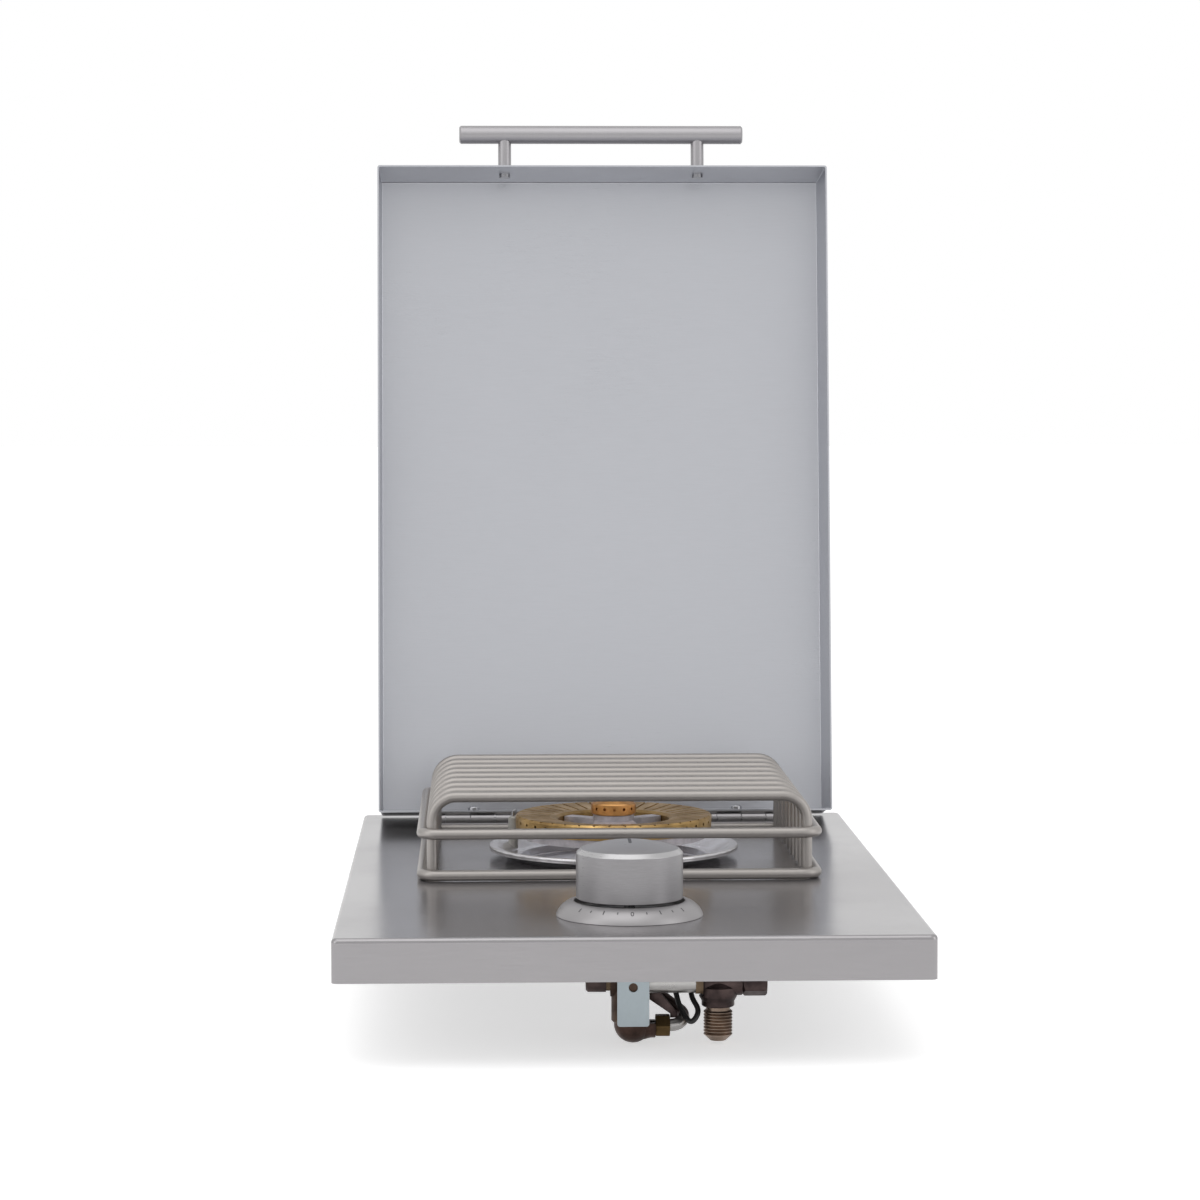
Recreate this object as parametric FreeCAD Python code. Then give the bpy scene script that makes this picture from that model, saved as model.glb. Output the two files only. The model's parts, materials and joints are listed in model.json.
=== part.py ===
import FreeCAD, Part
import math
import os

Vec = FreeCAD.Vector
AXIS_X = Vec(1, 0, 0)
AXIS_Y = Vec(0, 1, 0)
AXIS_Z = Vec(0, 0, 1)

# Frame: millimetres, +Z up, cook stands at -Y, origin under the middle of the tray on the counter
# Clearances
RUN_FIT = 0.05
SEAT_GAP = 0.3
MOVE_GAP = 0.5
HOLE_GAP = 0.25

# Folded top tray
TRAY_W = 319.0
TRAY_L = 508.0
TRAY_H = 23.8
TRAY_T = 1.2
TRAY_BEND_R = 2.5
TRAY_CORNER_R = 4.0
LIP_W = 20.0
PANEL_Z = TRAY_H
PANEL_LOW = PANEL_Z - TRAY_T

# Burner and drip bowl
BURNER_Y = 51.0
BOWL_R = 75.0
BOWL_T = 0.9
BOWL_RIM_H = 7.1
BOWL_LIP_H = 2.2
BOWL_RIM_W = 6.0
BOWL_SEAT_R = 66.5
BOWL_SEAT_W = 5.0
BOWL_DROP = 4.6
BOWL_HOLE_R = 20.0
TROUGH_IN_R = 36.5
TROUGH_OUT_R = 56.5
TROUGH_WALL = 3.0
TROUGH_FLOOR_H = 12.0
TROUGH_TOP_H = 20.9
HUB_R = 12.5
HUB_BORE_R = 8.2
HUB_TOP_H = 25.7
HUB_FLOOR_T = 1.3
HUB_LUG_R = 5.0
HUB_LUG_REACH = 17.5
HUB_LUG_T = 4.0
ARM_TOP_H = 22.5
ARM_T = 8.0
FRONT_ARM_IN_W = 22.0
FRONT_ARM_OUT_W = 29.0
BACK_ARM_W = 9.0
BACK_ARM_ANGLE = 35.0
VENTURI_R = 7.2
VENTURI_T = 1.6
VENTURI_LIFT = 0.4
MOUTH_R = 9.6
MOUTH_LEN = 16.0
MOUTH_TAPER = 14.0
MOUTH_Y = -139.0
RING_R = 60.0
RING_HOLE_R = 34.0
RING_OUT_H = 26.0
RING_IN_H = 24.0
RING_SKIRT = 9.0
RING_STEP_GAP = 1.0
RING_CHAMBER = 2.6
RING_EDGE_R = 1.2
RING_PORTS = 40
RING_PORT_R = 0.9
RING_GROOVE_W = 1.3
RING_GROOVE_D = 0.6
RING_GROOVE_IN_R = 39.0
CAP_R = 13.7
CAP_WALL_H = 7.0
CAP_DOME_H = 3.2
CAP_PORTS = 14
CAP_PORT_R = 0.9
CAP_SPIGOT = 5.0

# Cross strap under the burner
STRAP_W = 40.0
STRAP_T = 2.0
STRAP_FLANGE = 6.0
STRAP_SCREW_IN = 13.5
STRAP_SCREW_DY = 12.0
SCREW_R = 2.0
HEAD_R = 3.6
HEAD_H = 2.2
NUT_AF = 7.0
NUT_H = 2.4

# Igniter
IGN_X = -61.2
IGN_DY = 25.0
CERAMIC_R = 3.0
CERAMIC_TOP_H = 21.5
CERAMIC_TAIL = 7.0
COLLAR_R = 4.0
COLLAR_H = 3.0
ELECTRODE_R = 0.8
ELECTRODE_UP = 3.2
ELECTRODE_REACH = 2.0
CLIP_W = 8.6
CLIP_T = 1.0
CLIP_LEN = 16.0
LEAD_R = 1.5
BOOT_R = 3.2
BOOT_LEN = 6.0

# Gas valve, stem and knob
KNOB_Y = -179.0
VALVE_R = 10.0
VALVE_CAP_T = 4.0
VALVE_CAP_W = 25.0
VALVE_CAP_L = 52.0
VALVE_TOP_R = 14.5
VALVE_TOP_T = 5.0
VALVE_LOW_H = -59.0
VALVE_PAD_W = 14.0
VALVE_PAD_REACH = 11.5
BOSS_R = 8.0
BOSS_LEFT = 10.6
BOSS_RIGHT = 10.5
MANIFOLD_H = -36.9
PASSAGE_R = 2.6
PLUG_R = 6.0
PLUG_TAPER = 1.2
PLUG_TOP_H = -17.0
PLUG_LEN = 28.0
PLUG_SLOT_W = 2.2
PLUG_SLOT_D = 10.0
STEM_R = 3.0
KNOB_PUSH = 3.0
STEM_FLAT = 1.0
STEM_TOP_H = 26.0
STEM_COLLAR_R = 5.0
STEM_COLLAR_T = 1.2
TONGUE_W = 5.0
TONGUE_D = 5.0
SPRING_R = 4.4
SPRING_WIRE = 0.5
SPRING_TURNS = 4
CAP_SCREW_DY = 10.5
CAP_SCREW_R = 1.3
KNOB_R = 28.6
KNOB_LOW_H = 9.5
KNOB_H = 28.0
KNOB_WALL = 2.4
KNOB_CROWN = 3.0
KNOB_CHAMFER_W = 1.2
KNOB_CHAMFER_H = 3.0
KNOB_HUB_R = 7.0
KNOB_HUB_LOW = 3.0
MARK_W = 1.6
MARK_L = 7.0
MARK_D = 0.5
MARK_EDGE = 2.6
BEZEL_R = 39.4
BEZEL_TOP_R = 31.4
BEZEL_H = 8.0
BEZEL_T = 1.0
BEZEL_FLOOR_H = 2.0
BEZEL_DISH_R = 29.6
BEZEL_BASE_W = 1.5
BEZEL_HOLE_R = 9.0
BEZEL_SCREW_X = 19.0

# Gas train under the valve
BRACKET_W = 17.4
BRACKET_X = 1.5
BRACKET_T = 1.5
BRACKET_TOP_H = -12.0
BRACKET_LOW_H = -59.4
BRACKET_HOLE_R = 2.5
BRACKET_HOLE_H = -38.0
BRACKET_SCREW_H = -22.0
END_PLUG_R = 5.6
END_PLUG_LEN = 11.0
SEAL_R = 4.9
SEAL_LEN = 2.4
TUBE_R = 6.35
TUBE_T = 1.4
TUBE_LEN = 25.5
TUBE_SEAL_R = 6.9
TUBE_SEAL_LEN = 4.0
TEE_R = 7.8
TEE_LEN = 22.0
TEE_BRANCH_R = 10.4
TEE_NECK_R = 9.0
TEE_DROP = 13.6
TEE_PLUG_AF = 14.6
TEE_PLUG_LEN = 13.0
FLARE_R = 7.94
FLARE_NECK_R = 6.6
FLARE_NECK_LEN = 2.2
THREAD_PITCH = 1.75
THREAD_DEPTH = 0.8
THREAD_TURNS = 8
FLARE_CONE = 2.6
FLARE_BORE_R = 3.6
ELBOW_R = 10.4
ELBOW_X = 1.8
ELBOW_H = -60.0
ELBOW_ARM_R = 6.8
ELBOW_ARM_X = 14.0
UNION_AF = 13.2
UNION_LEN = 8.0
GAS_TUBE_R = 4.4
GAS_TUBE_BEND = 7.0
GAS_TUBE_OUT = 7.5
GAS_TUBE_RUN = 8.0
ORIFICE_AF = 10.0
ORIFICE_LEN = 8.0
ORIFICE_NOSE_R = 3.0
ORIFICE_NOSE_LEN = 7.0
ORIFICE_GAP = 2.0
SHUTTER_T = 0.8
SHUTTER_LEN = 12.0
SHUTTER_SLOTS = 4
SHUTTER_SLOT_W = 5.0
ARM_STRIP_T = 1.5
ARM_STRIP_W = 5.0
MODULE_W = 14.0
MODULE_D = 6.0
MODULE_H = 18.0

# Wire grate
WIRE_R = 3.15
GRATE_Y = 52.0
GRATE_RING_W = 237.0
GRATE_RING_L = 214.0
GRATE_H = 51.7
GRATE_UPPER_H = 27.5
GRATE_RING_BEND = 9.0
GRATE_HOOP_BEND = 14.0
GRATE_HOOPS = 9
GRATE_PITCH = 24.4
WELD_SINK = 0.4

# Hinge
HINGE_Y = 183.0
HINGE_LEN = 240.0
HINGE_KNUCKLES = 15
KNUCKLE_R = 4.0
PIN_R = 2.0
LEAF_T = 1.2
LEAF_TONGUE = 5.2
LEAF_REACH = 24.0
LEAF_GAP = 0.5
HINGE_FOOT = 3.0
HINGE_SCREW_XS = (-86.0, 0.0, 86.0)
LEAF_SCREW_AT = 14.5
HINGE_Z = PANEL_Z + LEAF_T + KNUCKLE_R

# Lid in its closed place, then swung open about the hinge
LID_W = 295.0
LID_L = 423.0
LID_D = 62.0
LID_T = 1.0
LID_EDGE_R = 3.0
LID_CORNER_R = 3.0
LID_RIM_UNDER = 2.6
LID_OPEN = 96.7
HANDLE_LEN = 188.0
HANDLE_R = 6.0
HANDLE_PITCH = 128.0
HANDLE_OUT = 25.6
HANDLE_UP = 30.0
HANDLE_END = 1.0
POST_R = 4.3
POST_FOOT_R = 6.0
POST_FOOT_T = 1.5
LID_BACK_Y = HINGE_Y - KNUCKLE_R - LEAF_T
LID_FRONT_Y = LID_BACK_Y - LID_L
LID_RIM_Z = HINGE_Z - LID_RIM_UNDER


def box(x0, x1, y0, y1, z0, z1):
    return Part.makeBox(x1 - x0, y1 - y0, z1 - z0, Vec(x0, y0, z0))


def rod(radius, start, end):
    line = end - start
    return Part.makeCylinder(radius, line.Length, start, line)


def fuse(shapes):
    joined = shapes[0]
    if len(shapes) > 1:
        joined = shapes[0].multiFuse(shapes[1:])
    return joined.removeSplitter()


def group(shapes):
    return Part.makeCompound(shapes)


def hexagon(across, start, end):
    line = end - start
    corner = across / math.sqrt(3)
    points = []
    for i in range(7):
        angle = math.radians(60 * i)
        points.append(Vec(corner * math.cos(angle), corner * math.sin(angle), 0))
    prism = Part.Face(Part.makePolygon(points)).extrude(Vec(0, 0, line.Length))
    prism.Placement = FreeCAD.Placement(start, FreeCAD.Rotation(AXIS_Z, line))
    return prism


def turned(points, centre, axis=AXIS_Z):
    # Solid of revolution from (radius, height) corners
    corners = [Vec(r, 0, h) for r, h in points]
    face = Part.Face(Part.makePolygon(corners + corners[:1]))
    solid = face.revolve(Vec(0, 0, 0), AXIS_Z, 360)
    solid.Placement = FreeCAD.Placement(centre, FreeCAD.Rotation(AXIS_Z, axis))
    return solid


def spun_sheet(points, thickness, centre):
    # Thin revolved shell along an open (radius, height) line
    line = Part.makePolygon([Vec(r, h, 0) for r, h in points])
    face = line.makeOffset2D(thickness, 0, True, True)
    face.rotate(Vec(0, 0, 0), AXIS_X, 90)
    solid = face.revolve(Vec(0, 0, 0), AXIS_Z, 360)
    solid.translate(centre)
    return solid


def bent_edges(points, bend, closed=False):
    # Straight runs joined by arcs of one bend radius
    count = len(points)
    corners = range(count) if closed else range(1, count - 1)
    cuts = {}
    for i in corners:
        here = points[i]
        back = (points[i - 1] - here).normalize()
        ahead = (points[(i + 1) % count] - here).normalize()
        half = math.acos(max(-1, min(1, back.dot(ahead)))) / 2
        run = bend / math.tan(half)
        middle = (back + ahead).normalize()
        crown = here + middle * (bend / math.sin(half) - bend)
        cuts[i] = (here + back * run, crown, here + ahead * run)
    edges = []
    spans = count if closed else count - 1
    for i in range(spans):
        j = (i + 1) % count
        start = cuts[i][2] if i in cuts else points[i]
        end = cuts[j][0] if j in cuts else points[j]
        if (end - start).Length > 0.01:
            edges.append(Part.makeLine(start, end))
        if j in cuts:
            edges.append(Part.Arc(*cuts[j]).toShape())
    return edges


def bent_rod(points, bend, radius, closed=False):
    wire = Part.Wire(bent_edges(points, bend, closed))
    first = wire.Edges[0]
    tangent = first.tangentAt(first.FirstParameter)
    ring = Part.Wire(Part.makeCircle(radius, first.valueAt(first.FirstParameter), tangent))
    return wire.makePipeShell([ring], True, True)


def machine_screw(x, y, z, length, down=True, nut_at=None):
    # Pan head screw seated at z with its shank running away from the head
    way = -1 if down else 1
    head = rod(HEAD_R, Vec(x, y, z), Vec(x, y, z - way * HEAD_H))
    rim = [edge for edge in head.Edges if abs(edge.CenterOfMass.z - z) > HEAD_H / 2 and edge.Closed]
    head = head.makeFillet(HEAD_H * 0.4, rim[:1])
    pieces = [head, rod(SCREW_R, Vec(x, y, z), Vec(x, y, z + way * length))]
    screw = fuse(pieces)
    if nut_at is not None:
        nut = hexagon(NUT_AF, Vec(x, y, nut_at), Vec(x, y, nut_at + way * NUT_H))
        screw = fuse([screw, nut])
    return screw


def top_tray():
    x, y = TRAY_W / 2, TRAY_L / 2
    outer = box(-x, x, -y, y, 0, TRAY_H)
    uprights = [e for e in outer.Edges if abs(e.tangentAt(0).z) > 0.9]
    outer = outer.makeFillet(TRAY_CORNER_R, uprights)
    rims = [e for e in outer.Edges if e.BoundBox.ZMin > TRAY_H - 0.01]
    outer = outer.makeFillet(TRAY_BEND_R, rims)
    ix, iy = x - TRAY_T, y - TRAY_T
    inner = box(-ix, ix, -iy, iy, TRAY_T, PANEL_LOW)
    uprights = [e for e in inner.Edges if abs(e.tangentAt(0).z) > 0.9]
    inner = inner.makeFillet(TRAY_CORNER_R - TRAY_T, uprights)
    rims = [e for e in inner.Edges if e.BoundBox.ZMin > PANEL_LOW - 0.01]
    inner = inner.makeFillet(TRAY_BEND_R - TRAY_T, rims)
    tray = outer.cut(inner)
    mouth = box(-x + LIP_W, x - LIP_W, -y + LIP_W, y - LIP_W, -1, TRAY_T + 1)
    cuts = [mouth, rod(BOWL_SEAT_R - BOWL_SEAT_W + MOVE_GAP, Vec(0, BURNER_Y, PANEL_LOW - 1), Vec(0, BURNER_Y, PANEL_Z + 1))]
    cuts.append(rod(STEM_R + 1.5, Vec(0, KNOB_Y, PANEL_LOW - 1), Vec(0, KNOB_Y, PANEL_Z + 1)))
    for side in (-1, 1):
        x = side * BEZEL_SCREW_X
        cuts.append(rod(SCREW_R + HOLE_GAP, Vec(x, KNOB_Y, PANEL_LOW - 1), Vec(x, KNOB_Y, PANEL_Z + 1)))
        for end in (-1, 1):
            place = Vec(side * strap_screw_x(), BURNER_Y + end * STRAP_SCREW_DY, -1)
            cuts.append(rod(SCREW_R + HOLE_GAP, place, place + AXIS_Z * (TRAY_T + 2)))
    for x in HINGE_SCREW_XS:
        y = HINGE_Y + LEAF_SCREW_AT
        cuts.append(rod(SCREW_R + HOLE_GAP, Vec(x, y, PANEL_LOW - 1), Vec(x, y, PANEL_Z + 1)))
    cuts.append(igniter_hole())
    return tray.cut(fuse(cuts[:1])).cut(group(cuts[1:]))


def igniter_hole():
    y = BURNER_Y + IGN_DY
    return rod(CERAMIC_R + MOVE_GAP, Vec(IGN_X, y, 0), Vec(IGN_X, y, PANEL_Z + BOWL_RIM_H + BOWL_T + 2))


def drip_bowl():
    seat_in = BOWL_SEAT_R - BOWL_SEAT_W
    line = [(BOWL_R, BOWL_RIM_H - BOWL_LIP_H), (BOWL_R, BOWL_RIM_H)]
    line += [(BOWL_R - BOWL_RIM_W, BOWL_RIM_H - 0.6), (BOWL_SEAT_R, 0), (seat_in, 0)]
    line += [(seat_in - 1.6, -BOWL_DROP), (BOWL_HOLE_R, -BOWL_DROP - 0.8)]
    bowl = spun_sheet(line, BOWL_T, Vec(0, BURNER_Y, PANEL_Z))
    return bowl.cut(igniter_hole())


def venturi_z():
    return TRAY_T + STRAP_T + VENTURI_LIFT + VENTURI_R


def burner_base():
    centre = Vec(0, BURNER_Y, PANEL_Z)
    wall = TROUGH_WALL
    trough = turned([(TROUGH_IN_R, TROUGH_FLOOR_H), (TROUGH_OUT_R, TROUGH_FLOOR_H),
                     (TROUGH_OUT_R, TROUGH_TOP_H), (TROUGH_OUT_R - wall, TROUGH_TOP_H),
                     (TROUGH_OUT_R - wall, TROUGH_FLOOR_H + wall), (TROUGH_IN_R + wall, TROUGH_FLOOR_H + wall),
                     (TROUGH_IN_R + wall, TROUGH_TOP_H), (TROUGH_IN_R, TROUGH_TOP_H)], centre)
    low = TRAY_T + STRAP_T
    hub = rod(HUB_R, Vec(0, BURNER_Y, low), Vec(0, BURNER_Y, PANEL_Z + HUB_TOP_H))
    arm_end = TROUGH_IN_R + wall / 2
    pieces = [trough, hub, burner_arm(-90, FRONT_ARM_IN_W, FRONT_ARM_OUT_W, arm_end)]
    for angle in (BACK_ARM_ANGLE, 180 - BACK_ARM_ANGLE):
        pieces.append(burner_arm(angle, BACK_ARM_W, BACK_ARM_W, arm_end))
    for side in (-1, 1):
        lug = Vec(side * HUB_LUG_REACH, BURNER_Y, low)
        pieces.append(rod(HUB_LUG_R, lug, lug + AXIS_Z * HUB_LUG_T))
        x0, x1 = sorted((0, side * HUB_LUG_REACH))
        pieces.append(box(x0, x1, BURNER_Y - HUB_LUG_R, BURNER_Y + HUB_LUG_R, low, low + HUB_LUG_T))
    pipe, bore = venturi()
    body = fuse(pieces + [pipe])
    well = rod(HUB_BORE_R, Vec(0, BURNER_Y, low + HUB_FLOOR_T), Vec(0, BURNER_Y, PANEL_Z + HUB_TOP_H + 1))
    cuts = [fuse([well, bore])]
    for side in (-1, 1):
        lug = Vec(side * HUB_LUG_REACH, BURNER_Y, low)
        cuts.append(rod(SCREW_R + HOLE_GAP, lug - AXIS_Z, lug + AXIS_Z * (HUB_LUG_T + 1)))
    return body.cut(group(cuts))


def burner_arm(angle, in_w, out_w, arm_end):
    # Arm top is lowered where the brass ring hangs over the trough wall
    top = PANEL_Z + ARM_TOP_H
    shape = [Vec(0, -in_w / 2, 0), Vec(RING_HOLE_R - MOVE_GAP, -out_w / 2, 0)]
    shape += [Vec(RING_HOLE_R - MOVE_GAP, out_w / 2, 0), Vec(0, in_w / 2, 0)]
    arm = Part.Face(Part.makePolygon(shape + shape[:1])).extrude(Vec(0, 0, ARM_T))
    low = PANEL_Z + TROUGH_FLOOR_H
    arm.translate(Vec(0, 0, top - ARM_T))
    arm = arm.common(Part.makeCylinder(RING_HOLE_R - MOVE_GAP, top, Vec(0, 0, 0)))
    foot_top = PANEL_Z + RING_OUT_H - RING_SKIRT - RING_STEP_GAP
    foot = box(RING_HOLE_R - MOVE_GAP - 4, arm_end, -in_w / 2, in_w / 2, low, foot_top)
    arm = arm.fuse(foot)
    arm.rotate(Vec(0, 0, 0), AXIS_Z, angle)
    arm.translate(Vec(0, BURNER_Y, 0))
    return arm


def venturi():
    # Mixing tube that flares to the mouth facing the gas jet
    z = venturi_z()
    length = BURNER_Y - MOUTH_Y
    t = VENTURI_T
    outer = turned([(0, 0), (VENTURI_R, 0), (VENTURI_R, length - MOUTH_LEN - MOUTH_TAPER),
                    (MOUTH_R, length - MOUTH_LEN), (MOUTH_R, length), (0, length)], Vec(0, BURNER_Y, z), Vec(0, -1, 0))
    bore = turned([(0, 0), (VENTURI_R - t, 0), (VENTURI_R - t, length - MOUTH_LEN - MOUTH_TAPER),
                   (MOUTH_R - t, length - MOUTH_LEN), (MOUTH_R - t, length + 1), (0, length + 1)],
                  Vec(0, BURNER_Y, z), Vec(0, -1, 0))
    return outer, bore


def outer_burner_ring():
    centre = Vec(0, BURNER_Y, PANEL_Z)
    under = TROUGH_TOP_H + SEAT_GAP
    low = RING_OUT_H - RING_SKIRT
    out_in = TROUGH_OUT_R + MOVE_GAP
    in_out = TROUGH_IN_R - MOVE_GAP
    ring = turned([(RING_HOLE_R, low), (in_out, low), (in_out, under), (TROUGH_IN_R + TROUGH_WALL + 1.5, under),
                   (TROUGH_IN_R + TROUGH_WALL + 1.5, under + RING_CHAMBER),
                   (TROUGH_OUT_R - TROUGH_WALL - 1.5, under + RING_CHAMBER), (TROUGH_OUT_R - TROUGH_WALL - 1.5, under),
                   (out_in, under), (out_in, low), (RING_R - 0.4, low), (RING_R, RING_OUT_H - RING_EDGE_R),
                   (RING_R - RING_EDGE_R, RING_OUT_H), (RING_HOLE_R + 2.2, RING_IN_H), (RING_HOLE_R, RING_IN_H - 1.2)],
                  centre)
    port_h = under + RING_CHAMBER / 2
    slope = math.degrees(math.atan2(RING_OUT_H - RING_IN_H, RING_R - RING_EDGE_R - RING_HOLE_R - 2.2))
    cuts = []
    for i in range(RING_PORTS):
        angle = 360.0 * i / RING_PORTS
        port = Part.makeCylinder(RING_PORT_R, RING_R, Vec(TROUGH_OUT_R - TROUGH_WALL - 3, 0, port_h), AXIS_X)
        port.rotate(Vec(0, 0, 0), AXIS_Z, angle)
        groove = box(0, RING_R, -RING_GROOVE_W / 2, RING_GROOVE_W / 2, -RING_GROOVE_D, 3)
        groove.rotate(Vec(0, 0, 0), AXIS_Y, -slope)
        rise = RING_IN_H + (RING_GROOVE_IN_R - RING_HOLE_R - 2.2) * math.tan(math.radians(slope))
        groove.translate(Vec(RING_GROOVE_IN_R, 0, rise))
        groove.rotate(Vec(0, 0, 0), AXIS_Z, angle + 180.0 / RING_PORTS)
        cuts += [port, groove]
    drills = group(cuts)
    drills.translate(centre)
    return ring.cut(drills)


def center_burner_cap():
    base = PANEL_Z + HUB_TOP_H + SEAT_GAP
    top = CAP_WALL_H
    spigot = HUB_BORE_R - MOVE_GAP
    cap = turned([(0, -CAP_SPIGOT + 1.5), (spigot - 1.8, -CAP_SPIGOT + 1.5), (spigot - 1.8, -CAP_SPIGOT),
                  (spigot, -CAP_SPIGOT), (spigot, 0), (CAP_R - 0.6, 0), (CAP_R, 0.8), (CAP_R, top - 0.8),
                  (CAP_R - 1.0, top), (CAP_R * 0.66, top + CAP_DOME_H * 0.62), (CAP_R * 0.33, top + CAP_DOME_H * 0.92),
                  (0, top + CAP_DOME_H)], Vec(0, BURNER_Y, base))
    ports = []
    for i in range(CAP_PORTS):
        port = Part.makeCylinder(CAP_PORT_R, 5, Vec(CAP_R - 4, 0, 0), AXIS_X)
        port.rotate(Vec(0, 0, 0), AXIS_Z, 360.0 * (i + 0.5) / CAP_PORTS)
        port.translate(Vec(0, BURNER_Y, base + CAP_WALL_H * 0.55))
        ports.append(port)
    return cap.cut(group(ports))


def burner_mount_screws():
    z = TRAY_T + STRAP_T + HUB_LUG_T
    length = HUB_LUG_T + STRAP_T + NUT_H + 0.6
    return group([machine_screw(side * HUB_LUG_REACH, BURNER_Y, z, length, True, TRAY_T) for side in (-1, 1)])


def burner_support():
    x = TRAY_W / 2 - TRAY_T - MOVE_GAP
    y0, y1 = BURNER_Y - STRAP_W / 2, BURNER_Y + STRAP_W / 2
    plate = box(-x, x, y0, y1, TRAY_T, TRAY_T + STRAP_T)
    inner = TRAY_W / 2 - LIP_W - MOVE_GAP
    low = TRAY_T - STRAP_FLANGE
    flanges = [box(-inner, inner, y0, y0 + STRAP_T, low, TRAY_T + STRAP_T)]
    flanges.append(box(-inner, inner, y1 - STRAP_T, y1, low, TRAY_T + STRAP_T))
    strap = fuse([plate] + flanges)
    cuts = []
    for side in (-1, 1):
        cuts.append((side * HUB_LUG_REACH, BURNER_Y))
        for end in (-1, 1):
            cuts.append((side * strap_screw_x(), BURNER_Y + end * STRAP_SCREW_DY))
    drills = [rod(SCREW_R + HOLE_GAP, Vec(px, py, -1), Vec(px, py, TRAY_T + STRAP_T + 1)) for px, py in cuts]
    return strap.cut(group(drills))


def strap_screw_x():
    return TRAY_W / 2 - STRAP_SCREW_IN


def support_screws():
    # Screws driven into the tray's lips, their ends flush with the counter side
    screws = []
    for side in (-1, 1):
        for end in (-1, 1):
            place = (side * strap_screw_x(), BURNER_Y + end * STRAP_SCREW_DY)
            screws.append(machine_screw(*place, TRAY_T + STRAP_T, TRAY_T + STRAP_T))
    return group(screws)


def igniter_insulator():
    y = BURNER_Y + IGN_DY
    tail = PANEL_LOW - CERAMIC_TAIL
    neck = PANEL_LOW - COLLAR_H
    body = turned([(ELECTRODE_R, tail), (CERAMIC_R - 0.7, tail), (CERAMIC_R, tail + 0.7), (CERAMIC_R, neck),
                   (COLLAR_R, neck), (COLLAR_R, PANEL_LOW), (CERAMIC_R, PANEL_LOW),
                   (CERAMIC_R, PANEL_Z + CERAMIC_TOP_H - 1.0), (CERAMIC_R - 1.0, PANEL_Z + CERAMIC_TOP_H),
                   (ELECTRODE_R, PANEL_Z + CERAMIC_TOP_H)], Vec(IGN_X, y, 0))
    return body


def igniter_electrode():
    y = BURNER_Y + IGN_DY
    top = PANEL_Z + CERAMIC_TOP_H + ELECTRODE_UP
    inward = Vec(-IGN_X, -IGN_DY, 0).normalize() * ELECTRODE_REACH
    start = Vec(IGN_X, y, PANEL_LOW - CERAMIC_TAIL)
    return bent_rod([start, Vec(IGN_X, y, top), Vec(IGN_X, y, top + 0.6) + inward], ELECTRODE_R + 0.2, ELECTRODE_R)


def igniter_clip():
    y = BURNER_Y + IGN_DY
    top = PANEL_LOW - COLLAR_H
    plate = box(IGN_X - CLIP_W / 2, IGN_X + CLIP_W / 2, y - CLIP_W / 2, y + CLIP_LEN, top - CLIP_T, top)
    riser = box(IGN_X - CLIP_W / 2, IGN_X + CLIP_W / 2, y + CLIP_LEN - CLIP_T, y + CLIP_LEN, top - CLIP_T, PANEL_LOW)
    tab = box(IGN_X - CLIP_W / 2, IGN_X + CLIP_W / 2, y + CLIP_LEN - CLIP_T, y + CLIP_LEN + 8,
              PANEL_LOW - CLIP_T, PANEL_LOW)
    hole = rod(CERAMIC_R, Vec(IGN_X, y, top - 5), Vec(IGN_X, y, top + 1))
    return fuse([plate, riser, tab]).cut(hole)


def ignition_lead():
    # Held high-voltage lead with the slack loop that shows under the tray
    k = KNOB_Y
    end = Vec(IGN_X, BURNER_Y + IGN_DY, PANEL_LOW - CERAMIC_TAIL - BOOT_LEN)
    start = module_port()
    points = [start, start + Vec(4, 0, -0.4), Vec(18, k + 11, -8), Vec(24, k + 9.5, -16), Vec(26.5, k + 4, -23.8)]
    points += [Vec(29.5, k - 4, -30.5), Vec(33.5, k - 8, -33.8), Vec(36.8, k - 6.5, -30), Vec(35.6, k, -24.8)]
    points += [Vec(34.5, k + 11, -18.5), Vec(38.5, k + 21, -10), Vec(37, k + 39, -4), Vec(16, k + 84, -1.5)]
    points += [Vec(-4, k + 108, -0.6), Vec(-30, k + 130, 2), Vec(-70, k + 169, 7), Vec(-84, BURNER_Y - 26, 9.5)]
    points += [Vec(-85, BURNER_Y + 9, 9.5), Vec(-79, BURNER_Y + 32, 8.6), Vec(-67, BURNER_Y + 35, 6.4)]
    points += [end + Vec(-0.8, 3.6, -3.6), end]
    curve = Part.BSplineCurve()
    curve.interpolate(points)
    edge = curve.toShape()
    wire = Part.Wire(edge)
    ring = Part.Wire(Part.makeCircle(LEAD_R, start, edge.tangentAt(edge.FirstParameter)))
    lead = wire.makePipeShell([ring], True, False)
    boot = rod(BOOT_R, end - AXIS_Z * 1.5, end + AXIS_Z * BOOT_LEN)
    return fuse([lead, boot]).cut(spark_module())


def module_port():
    return Vec(MODULE_W / 2, KNOB_Y + VALVE_R + MODULE_D - 3.5, PANEL_LOW - VALVE_CAP_T - VALVE_TOP_T - MODULE_H + 5)


def spark_module():
    # Spark switch block clipped to the back of the valve
    top = PANEL_LOW - VALVE_CAP_T - VALVE_TOP_T
    y0 = KNOB_Y + VALVE_R - 3
    block = box(-MODULE_W / 2, MODULE_W / 2, y0, KNOB_Y + VALVE_R + MODULE_D, top - MODULE_H, top)
    block = block.makeFillet(1.0, [e for e in block.Edges if abs(e.tangentAt(0).z) > 0.9])
    return block.cut(rod(VALVE_R, Vec(0, KNOB_Y, top - MODULE_H - 1), Vec(0, KNOB_Y, top + 1)))


def plug_wall(extra):
    # Tapered plug outline, also used for its bore
    low = PANEL_Z + PLUG_TOP_H - PLUG_LEN
    top = PANEL_Z + PLUG_TOP_H
    return [(0, low), (PLUG_R - PLUG_TAPER + extra, low), (PLUG_R + extra, top), (0, top)]


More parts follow.
